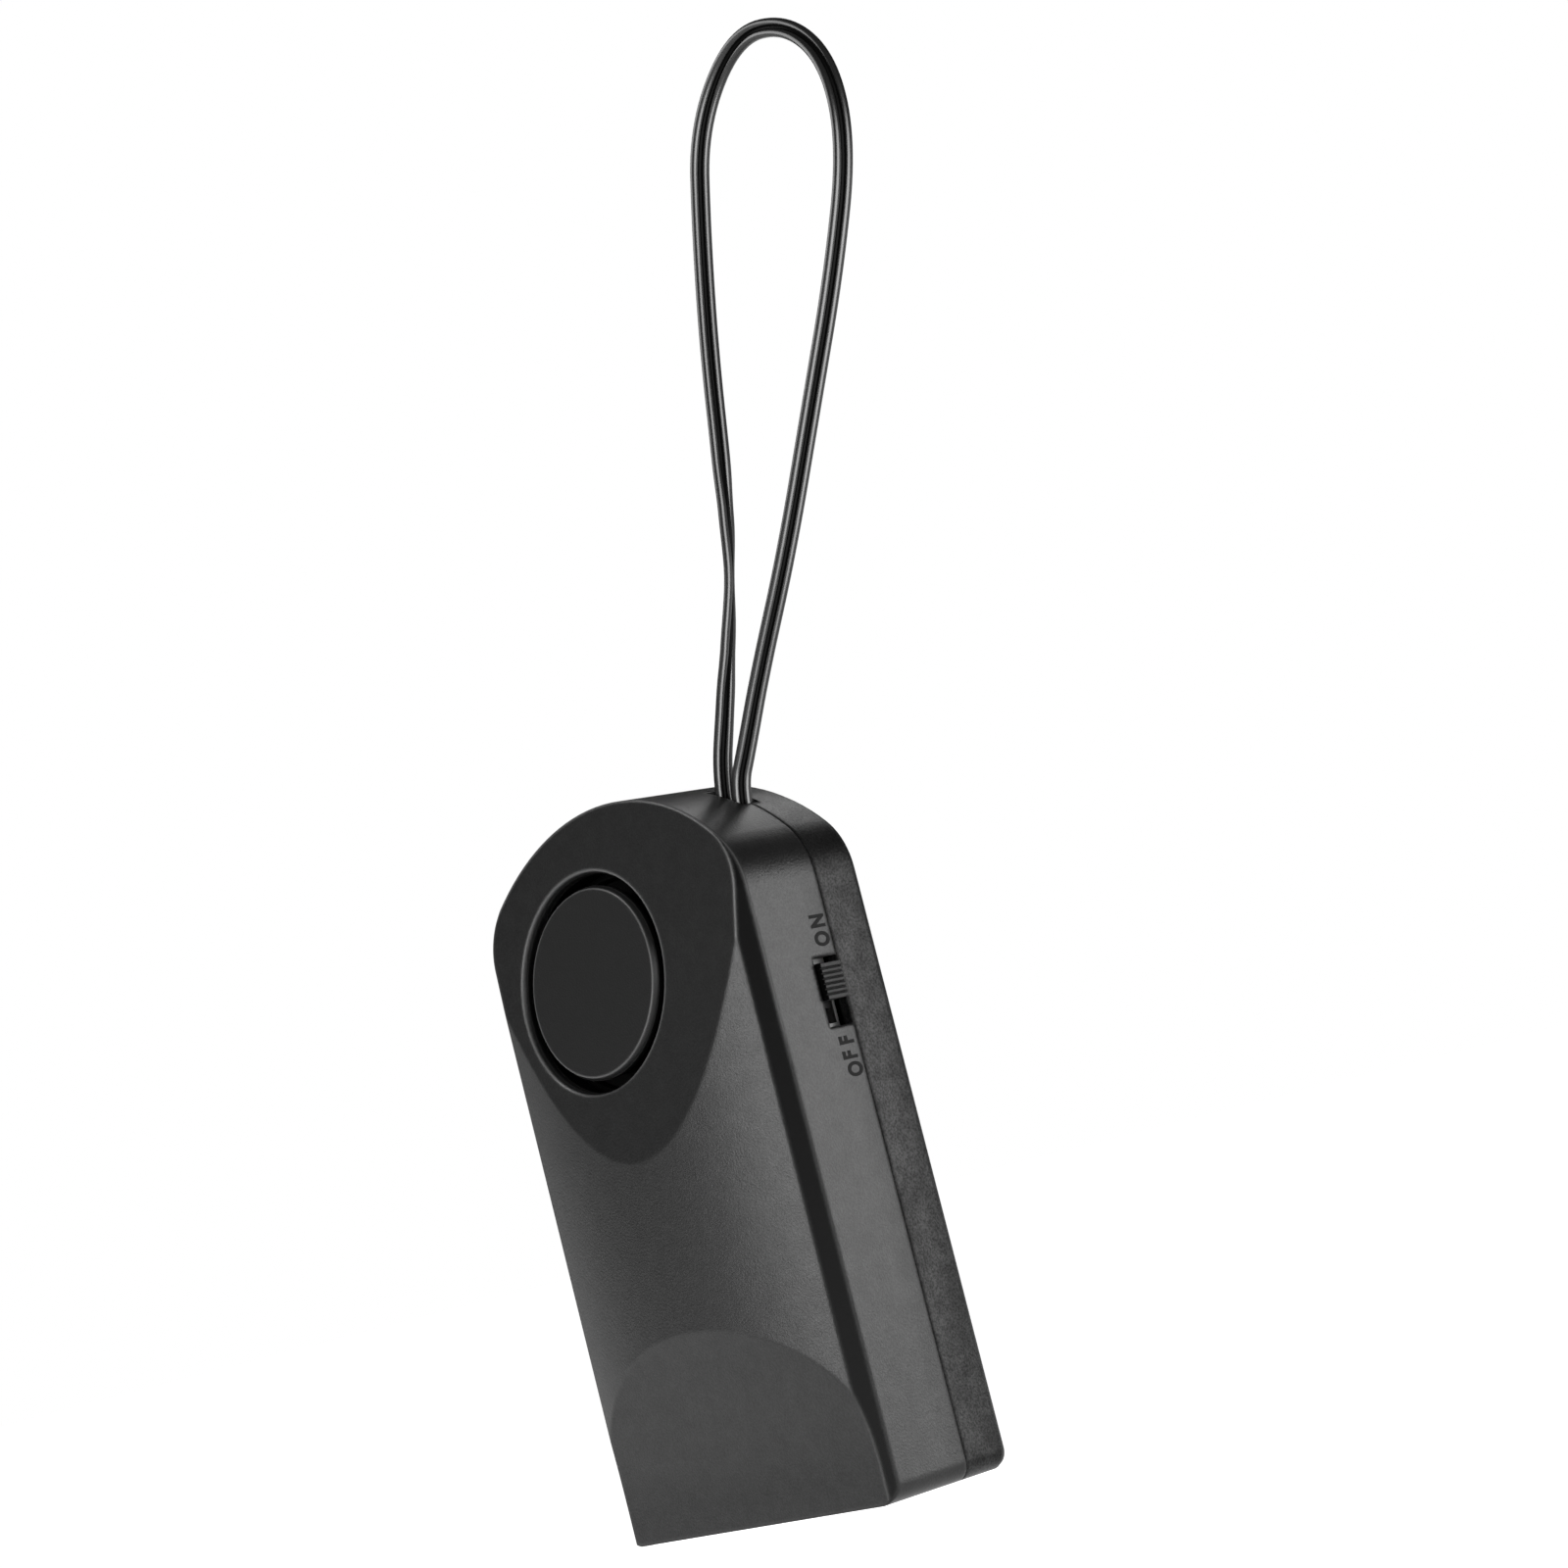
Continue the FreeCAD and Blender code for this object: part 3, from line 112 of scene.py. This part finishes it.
def smooth_route(points):
    """Points along the route's spline, and its length."""
    curve = bpy.data.curves.new("route", "CURVE")
    curve.dimensions = "3D"
    spline = curve.splines.new("NURBS")
    spline.points.add(len(points) - 1)
    for slot, point in zip(spline.points, points):
        slot.co = (*(CORD_HOME + Vector(point)), 1)
    spline.order_u = ROUTE_ORDER
    spline.use_endpoint_u = True
    spline.resolution_u = ROUTE_STEPS
    holder = bpy.data.objects.new("route", curve)
    scene.collection.objects.link(holder)
    bpy.context.view_layer.update()
    mesh = bpy.data.meshes.new_from_object(holder)
    line = [vertex.co.copy() for vertex in mesh.vertices]
    bpy.data.objects.remove(holder)
    return line, sum((b - a).length for a, b in zip(line, line[1:]))


def between(keys, share):
    """A smooth value between keys."""
    for (start, low), (end, high) in zip(keys, keys[1:]):
        if share <= end:
            part = (share - start) / (end - start)
            part = part * part * (3 - 2 * part)
            return low + (high - low) * part
    return keys[-1][1]


def twin_profile():
    """The twin lead's section: two round lobes and a thin web between them."""
    reach = CORD_WIDTH / 2 - LOBE_RADIUS
    cut = math.asin(WEB_THICKNESS / 2 / LOBE_RADIUS)
    step = (2 * math.pi - 2 * cut) / (LOBE_POINTS - 1)
    section = []
    for middle, first in ((reach, cut - math.pi), (-reach, cut)):
        for number in range(LOBE_POINTS):
            angle = first + step * number
            section.append((middle + math.cos(angle) * LOBE_RADIUS, math.sin(angle) * LOBE_RADIUS))
    return section


def cord_points(line, length, section):
    """The section's points at each point of the line, turned as CORD_TURNS says."""
    points = []
    gone = 0.0
    for index, point in enumerate(line):
        if index:
            gone += (point - line[index - 1]).length
        ahead = line[min(index + 1, len(line) - 1)]
        behind = line[max(index - 1, 0)]
        tangent = (ahead - behind).normalized()
        turn = Quaternion(tangent, math.radians(between(CORD_TURNS, gone / length)))
        wide = turn @ tangent.cross(FLAT_SIDE).normalized()
        thick = tangent.cross(wide).normalized()
        points += [tuple(point + wide * x + thick * y) for x, y in section]
    return points


def make_cord():
    """The twin lead, which follows the same route as the round cord among the solids."""
    line, length = smooth_route(CORD_ROUTE)
    section = twin_profile()
    count = len(section)
    faces = []
    for start in range(0, (len(line) - 1) * count, count):
        for number in range(count):
            after = (number + 1) % count
            faces.append((start + number, start + after, start + count + after, start + count + number))
    last = (len(line) - 1) * count
    faces.append(tuple(range(count - 1, -1, -1)))
    faces.append(tuple(range(last, last + count)))
    mesh = bpy.data.meshes.new("twin_cord")
    mesh.from_pydata(cord_points(line, length, section), [], faces)
    mesh.shade_smooth()
    mesh.set_sharp_from_angle(angle=CREASE)
    cord = bpy.data.objects.new("twin_cord", mesh)
    scene.collection.objects.link(cord)
    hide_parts("sensor_cord")
    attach(cord, "case")
    return cord


cord = make_cord()

# Materials

SIREN_MIDDLE = Vector((-0.0478, -0.02269, -0.10886))
FACET_LEAN = math.tan(math.radians(8.5))
CASE_BLACK = (0.008,) * 3
CASE_ROUGHNESS = 0.36
CASE_SHINE = 0.43
CASE_GRAIN = (3800, 0.00003)         # noise scale and depth of the case's fine texture
CASE_EDGE = 0.0008                   # radius of the case's rounded edges
SIREN_EDGE = 0.0005
ROUNDING_SAMPLES = 8
EDGE_MATCH = (0.94, 0.992)           # how well rounded and true directions match on and off an edge
TOP_TO_SIDE = (0.6, 0.97)            # how far sideways the surface looks on top and at the sides
FINE_PATCHES = (3600, 2.0)           # noise scale and detail
WIDE_PATCHES = (420, 4.0)
SHINE_RANGE = (0.35, 0.65)           # the noise's values between the dullest and the shiniest patches
COLOUR_PATCHES = (500, 3.0)
COLOUR_RANGE = (0.3, 0.7)
PATCH_BLACKS = ((0.007,) * 3, (0.009,) * 3)
BEVEL_LEAN = math.sqrt(0.5)          # how much of a slanted bevel's direction is along Y
BEVEL_MARGIN = (0.03, 0.09)          # a lean that differs more than this isn't a bevel's
# painted shade on the slanted bevels: a darker black than the rest of the case
BEVEL_SHADE_BLACK = (0.006,) * 3
BEVEL_ROUGHNESS = 0.22
BEVEL_SHINE = 0.2
# painted highlight: the lighter tone along edges
EDGE_HIGHLIGHT_TONE = (0.1,) * 3
EDGE_HIGHLIGHT_HEIGHT = (-0.126, -0.121)       # the painted highlight along edges is above this
EDGE_HIGHLIGHT_DEPTH = (-0.0185, -0.016)       # and in front of this
DEEP_BLACK = (0.002,) * 3
DEEP_SHINE = 0.02
DEEP_FROM = (0.0008, 0.0016)         # how far behind the facet the siren's deep parts begin
KNOB_BLACK = (0.026,) * 3
# painted shade on the knob's flanks that face the front
KNOB_FLANK_SHADE = (0.004,) * 3
BRASS_YELLOW = (0.8, 0.58, 0.28)
# painted shade on the front of the sounder plate
BRASS_FRONT_SHADE = (0.004,) * 3
COLOUR_INPUTS = (6, 7)               # a Mix node's sockets for colours
COLOUR_OUTPUT = 2


class Finish:
    """A procedural material with a Principled shader."""

    def __init__(self, name, colour, roughness, metallic=0.0, specular=0.5):
        self.material = bpy.data.materials.new(name)
        self.material.use_nodes = True
        self.tree = self.material.node_tree
        self.shader = self.tree.nodes["Principled BSDF"]
        self.put("Base Color", (*colour, 1))
        self.put("Roughness", roughness)
        self.put("Metallic", metallic)
        self.put("Specular IOR Level", specular)

    def put(self, socket, value):
        self.shader.inputs[socket].default_value = value

    def feed(self, socket, source):
        self.link(source, self.shader.inputs[socket])

    def node(self, kind, **inputs):
        node = self.tree.nodes.new(kind)
        for name, value in inputs.items():
            node.inputs[name.replace("_", " ")].default_value = value
        return node

    def link(self, source, target):
        self.tree.links.new(source, target)

    def place(self):
        return self.node("ShaderNodeTexCoord").outputs["Object"]

    def noise(self, scale, detail=2.0):
        noise = self.node("ShaderNodeTexNoise", Scale=scale, Detail=detail)
        self.link(self.place(), noise.inputs["Vector"])
        return noise.outputs["Fac"]

    def spread(self, source, low, high, start=0.0, end=1.0):
        """A value that goes from low to high as the source goes from start to end."""
        node = self.node("ShaderNodeMapRange", From_Min=start, From_Max=end, To_Min=low, To_Max=high)
        self.link(source, node.inputs["Value"])
        return node.outputs["Result"]

    def math(self, operation, first, second=None):
        """The outcome of an operation on one or two values."""
        node = self.node("ShaderNodeMath")
        node.operation = operation
        for socket, value in zip(node.inputs, (first, second)):
            if value is None:
                continue
            if isinstance(value, (int, float)):
                socket.default_value = value
            else:
                self.link(value, socket)
        return node.outputs[0]

    def rounded(self, edge):
        """The surface's direction with its edges rounded."""
        bevel = self.node("ShaderNodeBevel", Radius=edge)
        bevel.samples = ROUNDING_SAMPLES
        return bevel.outputs[0]

    def sides(self):
        """The X, Y and Z parts of the surface's true direction."""
        return self.split(self.node("ShaderNodeNewGeometry").outputs["True Normal"])

    def edges(self, normal):
        """1 along edges and 0 away from them, from the rounded and the true direction of the surface."""
        match = self.node("ShaderNodeVectorMath")
        match.operation = "DOT_PRODUCT"
        self.link(normal, match.inputs[0])
        self.link(self.node("ShaderNodeNewGeometry").outputs["True Normal"], match.inputs[1])
        return self.spread(match.outputs["Value"], 1, 0, *EDGE_MATCH)

    def grain(self, scale, depth, normal=None):
        """A fine surface texture."""
        bump = self.node("ShaderNodeBump", Strength=1.0, Distance=depth)
        self.link(self.noise(scale), bump.inputs["Height"])
        if normal is not None:
            self.link(normal, bump.inputs["Normal"])
        self.feed("Normal", bump.outputs[0])
        return bump

    def patches(self, value, noise, uneven):
        """The value, more and less in patches by the uneven share."""
        share = self.spread(self.noise(*noise), 1 - uneven, 1 + uneven, *SHINE_RANGE)
        return self.math("MULTIPLY", value, share)

    def split(self, source):
        """The X, Y and Z parts of a direction or a place."""
        parts = self.node("ShaderNodeSeparateXYZ")
        self.link(source, parts.inputs[0])
        return parts.outputs

    def blend(self, share, dark, light):
        """A colour between two tones or colours."""
        mix = self.node("ShaderNodeMix")
        mix.data_type = "RGBA"
        for slot, tone in zip(COLOUR_INPUTS, (dark, light)):
            if isinstance(tone, tuple):
                mix.inputs[slot].default_value = (*tone, 1)
            else:
                self.link(tone, mix.inputs[slot])
        self.link(share, mix.inputs[0])
        return mix.outputs[COLOUR_OUTPUT]


def shell_finish(name, shine_top, shine_side, uneven, fade):
    """Textured black plastic, smooth on the slanted bevels of the front's and the back's edge, with
    painted shade there: a darker black and less shine.
    Its shine is that of the top or of the sides, varies by the uneven share and fades from front to back.
    Near the top of the front its edges get a lighter tone, a painted highlight."""
    finish = Finish(name, CASE_BLACK, CASE_ROUGHNESS)
    normal = finish.rounded(CASE_EDGE)
    bump = finish.grain(*CASE_GRAIN, normal)
    directions = finish.split(normal)
    place = finish.split(finish.place())
    sideways = finish.math("ABSOLUTE", directions["X"])
    shine = finish.spread(sideways, shine_top, shine_side, *TOP_TO_SIDE)
    shine = finish.patches(shine, FINE_PATCHES, uneven)
    shine = finish.patches(shine, WIDE_PATCHES, uneven / 2)
    shine = finish.math("MULTIPLY", shine, finish.spread(place["Y"], *fade))
    forward = finish.math("ABSOLUTE", directions["Y"])
    off_bevel = finish.math("ABSOLUTE", finish.math("SUBTRACT", forward, BEVEL_LEAN))
    textured = finish.spread(off_bevel, 0, 1, *BEVEL_MARGIN)
    finish.feed("Roughness", finish.spread(textured, BEVEL_ROUGHNESS, CASE_ROUGHNESS))
    smooth_shine = finish.math("MULTIPLY", finish.math("SUBTRACT", 1.0, textured), BEVEL_SHINE)
    textured_shine = finish.math("MULTIPLY", textured, shine)
    finish.feed("Specular IOR Level", finish.math("ADD", smooth_shine, textured_shine))
    finish.link(textured, bump.inputs["Strength"])
    mottle = finish.spread(finish.noise(*COLOUR_PATCHES), 0, 1, *COLOUR_RANGE)
    tone = finish.blend(mottle, *PATCH_BLACKS)
    # painted shade: the bevels, found by their direction, get the darker black
    tone = finish.blend(textured, BEVEL_SHADE_BLACK, tone)
    # painted highlight along the edges near the top of the front
    near_top = finish.spread(place["Z"], 0, 1, *EDGE_HIGHLIGHT_HEIGHT)
    near_front = finish.spread(place["Y"], 1, 0, *EDGE_HIGHLIGHT_DEPTH)
    edge_highlight = finish.math("MULTIPLY", finish.math("MULTIPLY", finish.edges(normal), near_top), near_front)
    finish.feed("Base Color", finish.blend(edge_highlight, tone, EDGE_HIGHLIGHT_TONE))
    return finish.material


def siren_finish():
    """The siren's cap and cup: the disc like the front shell, its deep parts unlit black, its edges
    lighter as a painted highlight.
    """
    finish = Finish("siren_plastic", CASE_BLACK, CASE_ROUGHNESS)
    normal = finish.rounded(SIREN_EDGE)
    finish.grain(*CASE_GRAIN, normal)
    place = finish.split(finish.place())
    rise = finish.math("SUBTRACT", place["Z"], SIREN_MIDDLE.z)
    facet = finish.math("ADD", finish.math("MULTIPLY", rise, FACET_LEAN), SIREN_MIDDLE.y)
    depth = finish.math("SUBTRACT", place["Y"], facet)
    in_light = finish.spread(depth, 1, 0, *DEEP_FROM)
    finish.feed("Specular IOR Level", finish.spread(in_light, DEEP_SHINE, CASE_SHINE))
    # painted highlight: a lighter tone along the disc's and the mouth's edges
    tone = finish.blend(finish.edges(normal), CASE_BLACK, EDGE_HIGHLIGHT_TONE)
    finish.feed("Base Color", finish.blend(in_light, DEEP_BLACK, tone))
    return finish.material


def knob_finish():
    """Black plastic, with painted shade on its flanks that face the front: a darker black and less shine
    there than on the grip.
    """
    finish = Finish("knob_plastic", KNOB_BLACK, 0.45)
    finish.grain(2900, 0.00004, finish.rounded(0.0002))
    grip = finish.spread(finish.sides()["Y"], 0, 1, -0.8, -0.5)
    finish.feed("Base Color", finish.blend(grip, KNOB_FLANK_SHADE, KNOB_BLACK))
    finish.feed("Specular IOR Level", finish.spread(grip, 0.03, 0.26))
    return finish.material


def brass_with_shaded_front():
    """Brass, its front painted black, dull and not metallic as painted shade."""
    finish = Finish("brass", BRASS_YELLOW, 0.3, metallic=1.0)
    front = finish.spread(finish.sides()["Y"], 1, 0, -0.6, -0.4)
    finish.feed("Metallic", finish.spread(front, 1, 0))
    finish.feed("Base Color", finish.blend(front, BRASS_YELLOW, BRASS_FRONT_SHADE))
    finish.feed("Specular IOR Level", finish.spread(front, 0.5, 0.05))
    return finish.material


def plain(name, colour, roughness, metallic=0.0, specular=0.5, grain=(3000, 0.00001), edge=0.0001):
    """A material of one colour with a fine grain and, where an edge radius is given, rounded edges."""
    finish = Finish(name, colour, roughness, metallic, specular)
    finish.grain(*grain, finish.rounded(edge) if edge else None)
    return finish.material


# Each shell's shine on top and at the sides, its unevenness and the fade of its shine along Y
front_plastic = shell_finish("front_plastic", CASE_SHINE, CASE_SHINE, 0.11, (1, 0.8, -0.0125, -0.0085))
rear_plastic = shell_finish("rear_plastic", 0.36, 0.21, 0.42, (1, 0.65, -0.0065, -0.002))
siren_plastic = siren_finish()
cord_vinyl = plain("cord_vinyl", (0.003,) * 3, 0.3, grain=(900, 0.000003), edge=0.0)
# painted shade in the cord's groove between the lobes
cord_groove_shade = plain("cord_groove_shade", (0.001,) * 3, 0.5, specular=0.03, grain=(900, 0.000003), edge=0.0)
steel = plain("steel", (0.62, 0.61, 0.59), 0.32, metallic=1.0, grain=(2500, 0.000008))
switch_metal = plain("switch_metal", (0.27, 0.27, 0.27), 0.55, metallic=1.0, grain=(2500, 0.00001))
knob_plastic = knob_finish()
brass = brass_with_shaded_front()
ceramic = plain("ceramic", (0.72, 0.71, 0.68), 0.45)
switch_plastic = plain("switch_plastic", (0.02, 0.018, 0.016), 0.5)
laminate = plain("laminate", (0.03, 0.19, 0.07), 0.35)
resin = plain("resin", (0.015, 0.015, 0.016), 0.55)
ferrite = plain("ferrite", (0.05, 0.05, 0.052), 0.7)
copper = plain("copper", (0.75, 0.3, 0.14), 0.3, metallic=1.0)
sleeve = plain("sleeve", (0.012, 0.02, 0.06), 0.25)
resistor = plain("resistor", (0.55, 0.4, 0.24), 0.35)
disc_lacquer = plain("disc_lacquer", (0.6, 0.28, 0.07), 0.3)
jacket = plain("jacket", (0.05, 0.05, 0.055), 0.3, metallic=0.4)
snap_plastic = plain("snap_plastic", (0.012, 0.012, 0.012), 0.5)
foam = plain("foam", (0.03, 0.03, 0.03), 0.95, grain=(2500, 0.0003))
clamp_plastic = plain("clamp_plastic", (0.012, 0.012, 0.012), 0.5)
red_vinyl = plain("red_vinyl", (0.5, 0.012, 0.012), 0.3)
black_vinyl = plain("black_vinyl", (0.01, 0.01, 0.01), 0.3)
black_steel = plain("black_steel", (0.1, 0.1, 0.105), 0.35, metallic=1.0)
# painted shade: dark sheets in place of the shaded recesses of engraved letters
letter_shade = plain("letter_shade", (0.003, 0.003, 0.003), 0.6, specular=0.2)

COVERINGS = {
    "front_shell": front_plastic,
    "rear_shell": rear_plastic,
    "battery_door": rear_plastic,
    "siren_cap": siren_plastic,
    "siren_cup": siren_plastic,
    "sounder_plate": brass,
    "sounder_ceramic": ceramic,
    "switch_frame": switch_metal,
    "switch_base": switch_plastic,
    "switch_terminals": steel,
    "switch_knob": knob_plastic,
    "circuit_board": laminate,
    "control_chip": resin,
    "chip_legs": steel,
    "coil_core": ferrite,
    "coil_winding": copper,
    "electrolytic_capacitor": sleeve,
    "transistors": resin,
    "resistors": resistor,
    "ceramic_capacitors": disc_lacquer,
    "battery_case": jacket,
    "battery_terminals": steel,
    "snap_connector": snap_plastic,
    "battery_pad": foam,
    "sensor_cord": cord_vinyl,
    "cord_clamp": clamp_plastic,
    "sensor_leads": black_vinyl,
    "snap_lead_red": red_vinyl,
    "snap_lead_black": black_vinyl,
    "sounder_lead_red": red_vinyl,
    "sounder_lead_black": black_vinyl,
    "housing_screws": black_steel,
    "board_screws": steel,
}


def cover(item, material):
    """Gives the whole item one material."""
    item.data.materials.clear()
    item.data.materials.append(material)


for name, material in COVERINGS.items():
    cover(nodes[name], material)
cover(cord, cord_vinyl)
# painted shade: the faces in the groove take the darker, dull material
cord.data.materials.append(cord_groove_shade)
for polygon in cord.data.polygons:
    place = polygon.index % LOBE_POINTS
    if place < GROOVE_FACES or place >= LOBE_POINTS - 1 - GROOVE_FACES:
        polygon.material_index = 1

# The lettering beside the switch: dark sheets that paint the shade of engraved letters

RIGHT_SIDE = -0.0173                 # where the case ends on the right
LETTER_SIZE = 0.0033
LETTER_WIDTH = 0.70                  # letters are narrower than the font's
LETTER_WEIGHT = 0.00015
LETTER_RISE = 0.00002
# Each letter's sign and its place along Y and Z
LETTERS = {
    "letter_on_o": ("O", -0.0103, -0.11153),
    "letter_on_n": ("N", -0.0104, -0.10925),
    "letter_off_o": ("O", -0.0103, -0.1282),
    "letter_off_f1": ("F", -0.0106, -0.1264),
    "letter_off_f2": ("F", -0.0106, -0.1245),
}


def make_letter(name, sign, y, z):
    """One letter that reads upward, its top towards the front."""
    curve = bpy.data.curves.new(name, "FONT")
    curve.body = sign
    curve.align_x = "CENTER"
    curve.align_y = "CENTER"
    curve.size = LETTER_SIZE
    curve.extrude = LETTER_RISE
    curve.offset = LETTER_WEIGHT
    holder = bpy.data.objects.new(name, curve)
    scene.collection.objects.link(holder)
    bpy.context.view_layer.update()
    mesh = bpy.data.meshes.new_from_object(holder)
    bpy.data.objects.remove(holder)
    for vertex in mesh.vertices:
        over, up, out = vertex.co
        vertex.co = (RIGHT_SIDE + out, y - up, z + over * LETTER_WIDTH)
    letter = bpy.data.objects.new(name, mesh)
    scene.collection.objects.link(letter)
    mesh.materials.append(letter_shade)
    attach(letter, "case")


for name, (sign, y, z) in LETTERS.items():
    make_letter(name, sign, y, z)

# Floor and background

FLOOR_REACH = 30.0
FLOOR_HEIGHT = -0.30
# The floor's glow near the case and farther out, and the distances from the origin for the two
FLOOR_GLOW = (0.5, 0.84, 0.5, 1.4)
ROOM_LIGHT = 0.25                    # the world's strength as a light
# How the surroundings dim in mirror images: a direction, how much of a look goes that way from and to,
# and the strength there and there
MIRRORED = [
    ((0, 0, 1), -0.1, 0.35, 0.74, 0.12),
    ((1, 0, 0), -0.8, -0.35, 0.12, 0.95),
    ((0, 1, 0), 0.2, 0.6, 1.0, 0.35),
    ((0.72, -0.69, -0.1), 0.55, 0.9, 1.0, 0.2),
]


def joined(tree, operation, first, second):
    """The outcome of an operation on two values."""
    node = tree.nodes.new("ShaderNodeMath")
    node.operation = operation
    tree.links.new(first, node.inputs[0])
    tree.links.new(second, node.inputs[1])
    return node.outputs[0]


def seen_directly(tree):
    """1 for what the camera sees, in mirror images and through clear things too."""
    path = tree.nodes.new("ShaderNodeLightPath")
    total = path.outputs["Is Camera Ray"]
    for name in ("Is Glossy Ray", "Is Transmission Ray"):
        total = joined(tree, "MAXIMUM", total, path.outputs[name])
    return total


def make_floor():
    """A white floor below the hanging case. It glows only where it is seen, more so farther out."""
    mesh = bpy.data.meshes.new("floor")
    signs = [(-1, -1), (1, -1), (1, 1), (-1, 1)]
    corners = [(x * FLOOR_REACH, y * FLOOR_REACH, FLOOR_HEIGHT) for x, y in signs]
    mesh.from_pydata(corners, [], [(0, 1, 2, 3)])
    floor = bpy.data.objects.new("floor", mesh)
    scene.collection.objects.link(floor)
    finish = Finish("floor_paint", (0.8, 0.8, 0.8), 0.9, specular=0.0)
    finish.put("Emission Color", (1, 1, 1, 1))
    distance = finish.node("ShaderNodeVectorMath")
    distance.operation = "LENGTH"
    finish.link(finish.place(), distance.inputs[0])
    glow = finish.spread(distance.outputs["Value"], *FLOOR_GLOW)
    finish.feed("Emission Strength", finish.math("MULTIPLY", glow, seen_directly(finish.tree)))
    mesh.materials.append(finish.material)


def make_world():
    """White behind the object. Mirror images of it are a studio's: darker above, behind, far left and
    towards the front right."""
    world = bpy.data.worlds.new("world")
    scene.world = world
    world.use_nodes = True
    tree = world.node_tree
    tree.nodes.clear()
    direction = tree.nodes.new("ShaderNodeTexCoord")
    strength = None
    for way, start, end, first, last in MIRRORED:
        along = tree.nodes.new("ShaderNodeVectorMath")
        along.operation = "DOT_PRODUCT"
        along.inputs[1].default_value = way
        tree.links.new(direction.outputs["Generated"], along.inputs[0])
        fade = tree.nodes.new("ShaderNodeMapRange")
        fade.inputs["From Min"].default_value = start
        fade.inputs["From Max"].default_value = end
        fade.inputs["To Min"].default_value = first
        fade.inputs["To Max"].default_value = last
        tree.links.new(along.outputs["Value"], fade.inputs["Value"])
        dimmed = fade.outputs["Result"]
        strength = dimmed if strength is None else joined(tree, "MULTIPLY", strength, dimmed)
    path = tree.nodes.new("ShaderNodeLightPath")
    strength = joined(tree, "MAXIMUM", strength, path.outputs["Is Camera Ray"])
    dim = tree.nodes.new("ShaderNodeBackground")
    dim.inputs["Strength"].default_value = ROOM_LIGHT
    dim.inputs["Color"].default_value = (1, 1, 1, 1)
    white = tree.nodes.new("ShaderNodeBackground")
    white.inputs["Color"].default_value = (1, 1, 1, 1)
    tree.links.new(strength, white.inputs["Strength"])
    mix = tree.nodes.new("ShaderNodeMixShader")
    tree.links.new(seen_directly(tree), mix.inputs[0])
    tree.links.new(dim.outputs[0], mix.inputs[1])
    tree.links.new(white.outputs[0], mix.inputs[2])
    output = tree.nodes.new("ShaderNodeOutputWorld")
    tree.links.new(mix.outputs[0], output.inputs["Surface"])


# Lamps

CASE_AIM = Vector((-0.0428, -0.0107, -0.130))
CASE_DISTANCE = 1.6
CORD_AIM = Vector((-0.012, -0.005, -0.05))
CORD_DISTANCE = 0.3
# Each lamp's direction, its width and height, and its power
CASE_LAMPS = {
    "lamp_back_right": ((0.74, 0.66, 0.02), (1.0, 0.8), 12.5),
    "lamp_right": ((0.95, -0.31, 0.0), (0.35, 1.2), 6),
    "lamp_front": ((-0.13, -0.97, 0.2), (0.7, 1.0), 15),
    "lamp_top": ((-0.33, -0.45, 0.83), (0.6, 0.4), 5),
    "lamp_left": ((-0.98, -0.05, 0.05), (0.5, 1.2), 0.9),
    "lamp_back_left": ((-0.82, 0.57, 0.05), (0.4, 1.2), 3),
    "lamp_high_back": ((-0.25, 0.69, 0.66), (0.6, 0.5), 2.2),
}
SHARED_LAMP = "lamp_back_left"       # this one lights the cord as well as the case
CORD_LAMPS = {
    "lamp_cord": ((0.87, -0.44, -0.22), (0.28, 0.36), 3.4),
    "lamp_loop": ((-0.65, -0.5, 0.57), (0.3, 0.2), 0.9),
}


def cord_group(name, state):
    """A group with which a lamp lights only the cord or all but the cord."""
    group = bpy.data.collections.new(name)
    group.objects.link(cord)
    group.collection_objects[0].light_linking.link_state = state
    return group


def make_lamp(name, direction, size, power, aim, distance, lit):
    """A soft rectangular lamp."""
    data = bpy.data.lights.new(name, "AREA")
    data.shape = "RECTANGLE"
    data.size, data.size_y = size
    data.energy = power
    lamp = bpy.data.objects.new(name, data)
    away = Vector(direction).normalized()
    lamp.location = aim + away * distance
    lamp.rotation_euler = away.to_track_quat("Z", "Y").to_euler()
    scene.collection.objects.link(lamp)
    lamp.visible_camera = False
    lamp.light_linking.receiver_collection = lit


cord_only = cord_group("cord_only", "INCLUDE")
cord_left_out = cord_group("cord_left_out", "EXCLUDE")
make_floor()
make_world()
for name, (direction, size, power) in CASE_LAMPS.items():
    lit = None if name == SHARED_LAMP else cord_left_out
    make_lamp(name, direction, size, power, CASE_AIM, CASE_DISTANCE, lit)
for name, (direction, size, power) in CORD_LAMPS.items():
    make_lamp(name, direction, size, power, CORD_AIM, CORD_DISTANCE, cord_only)
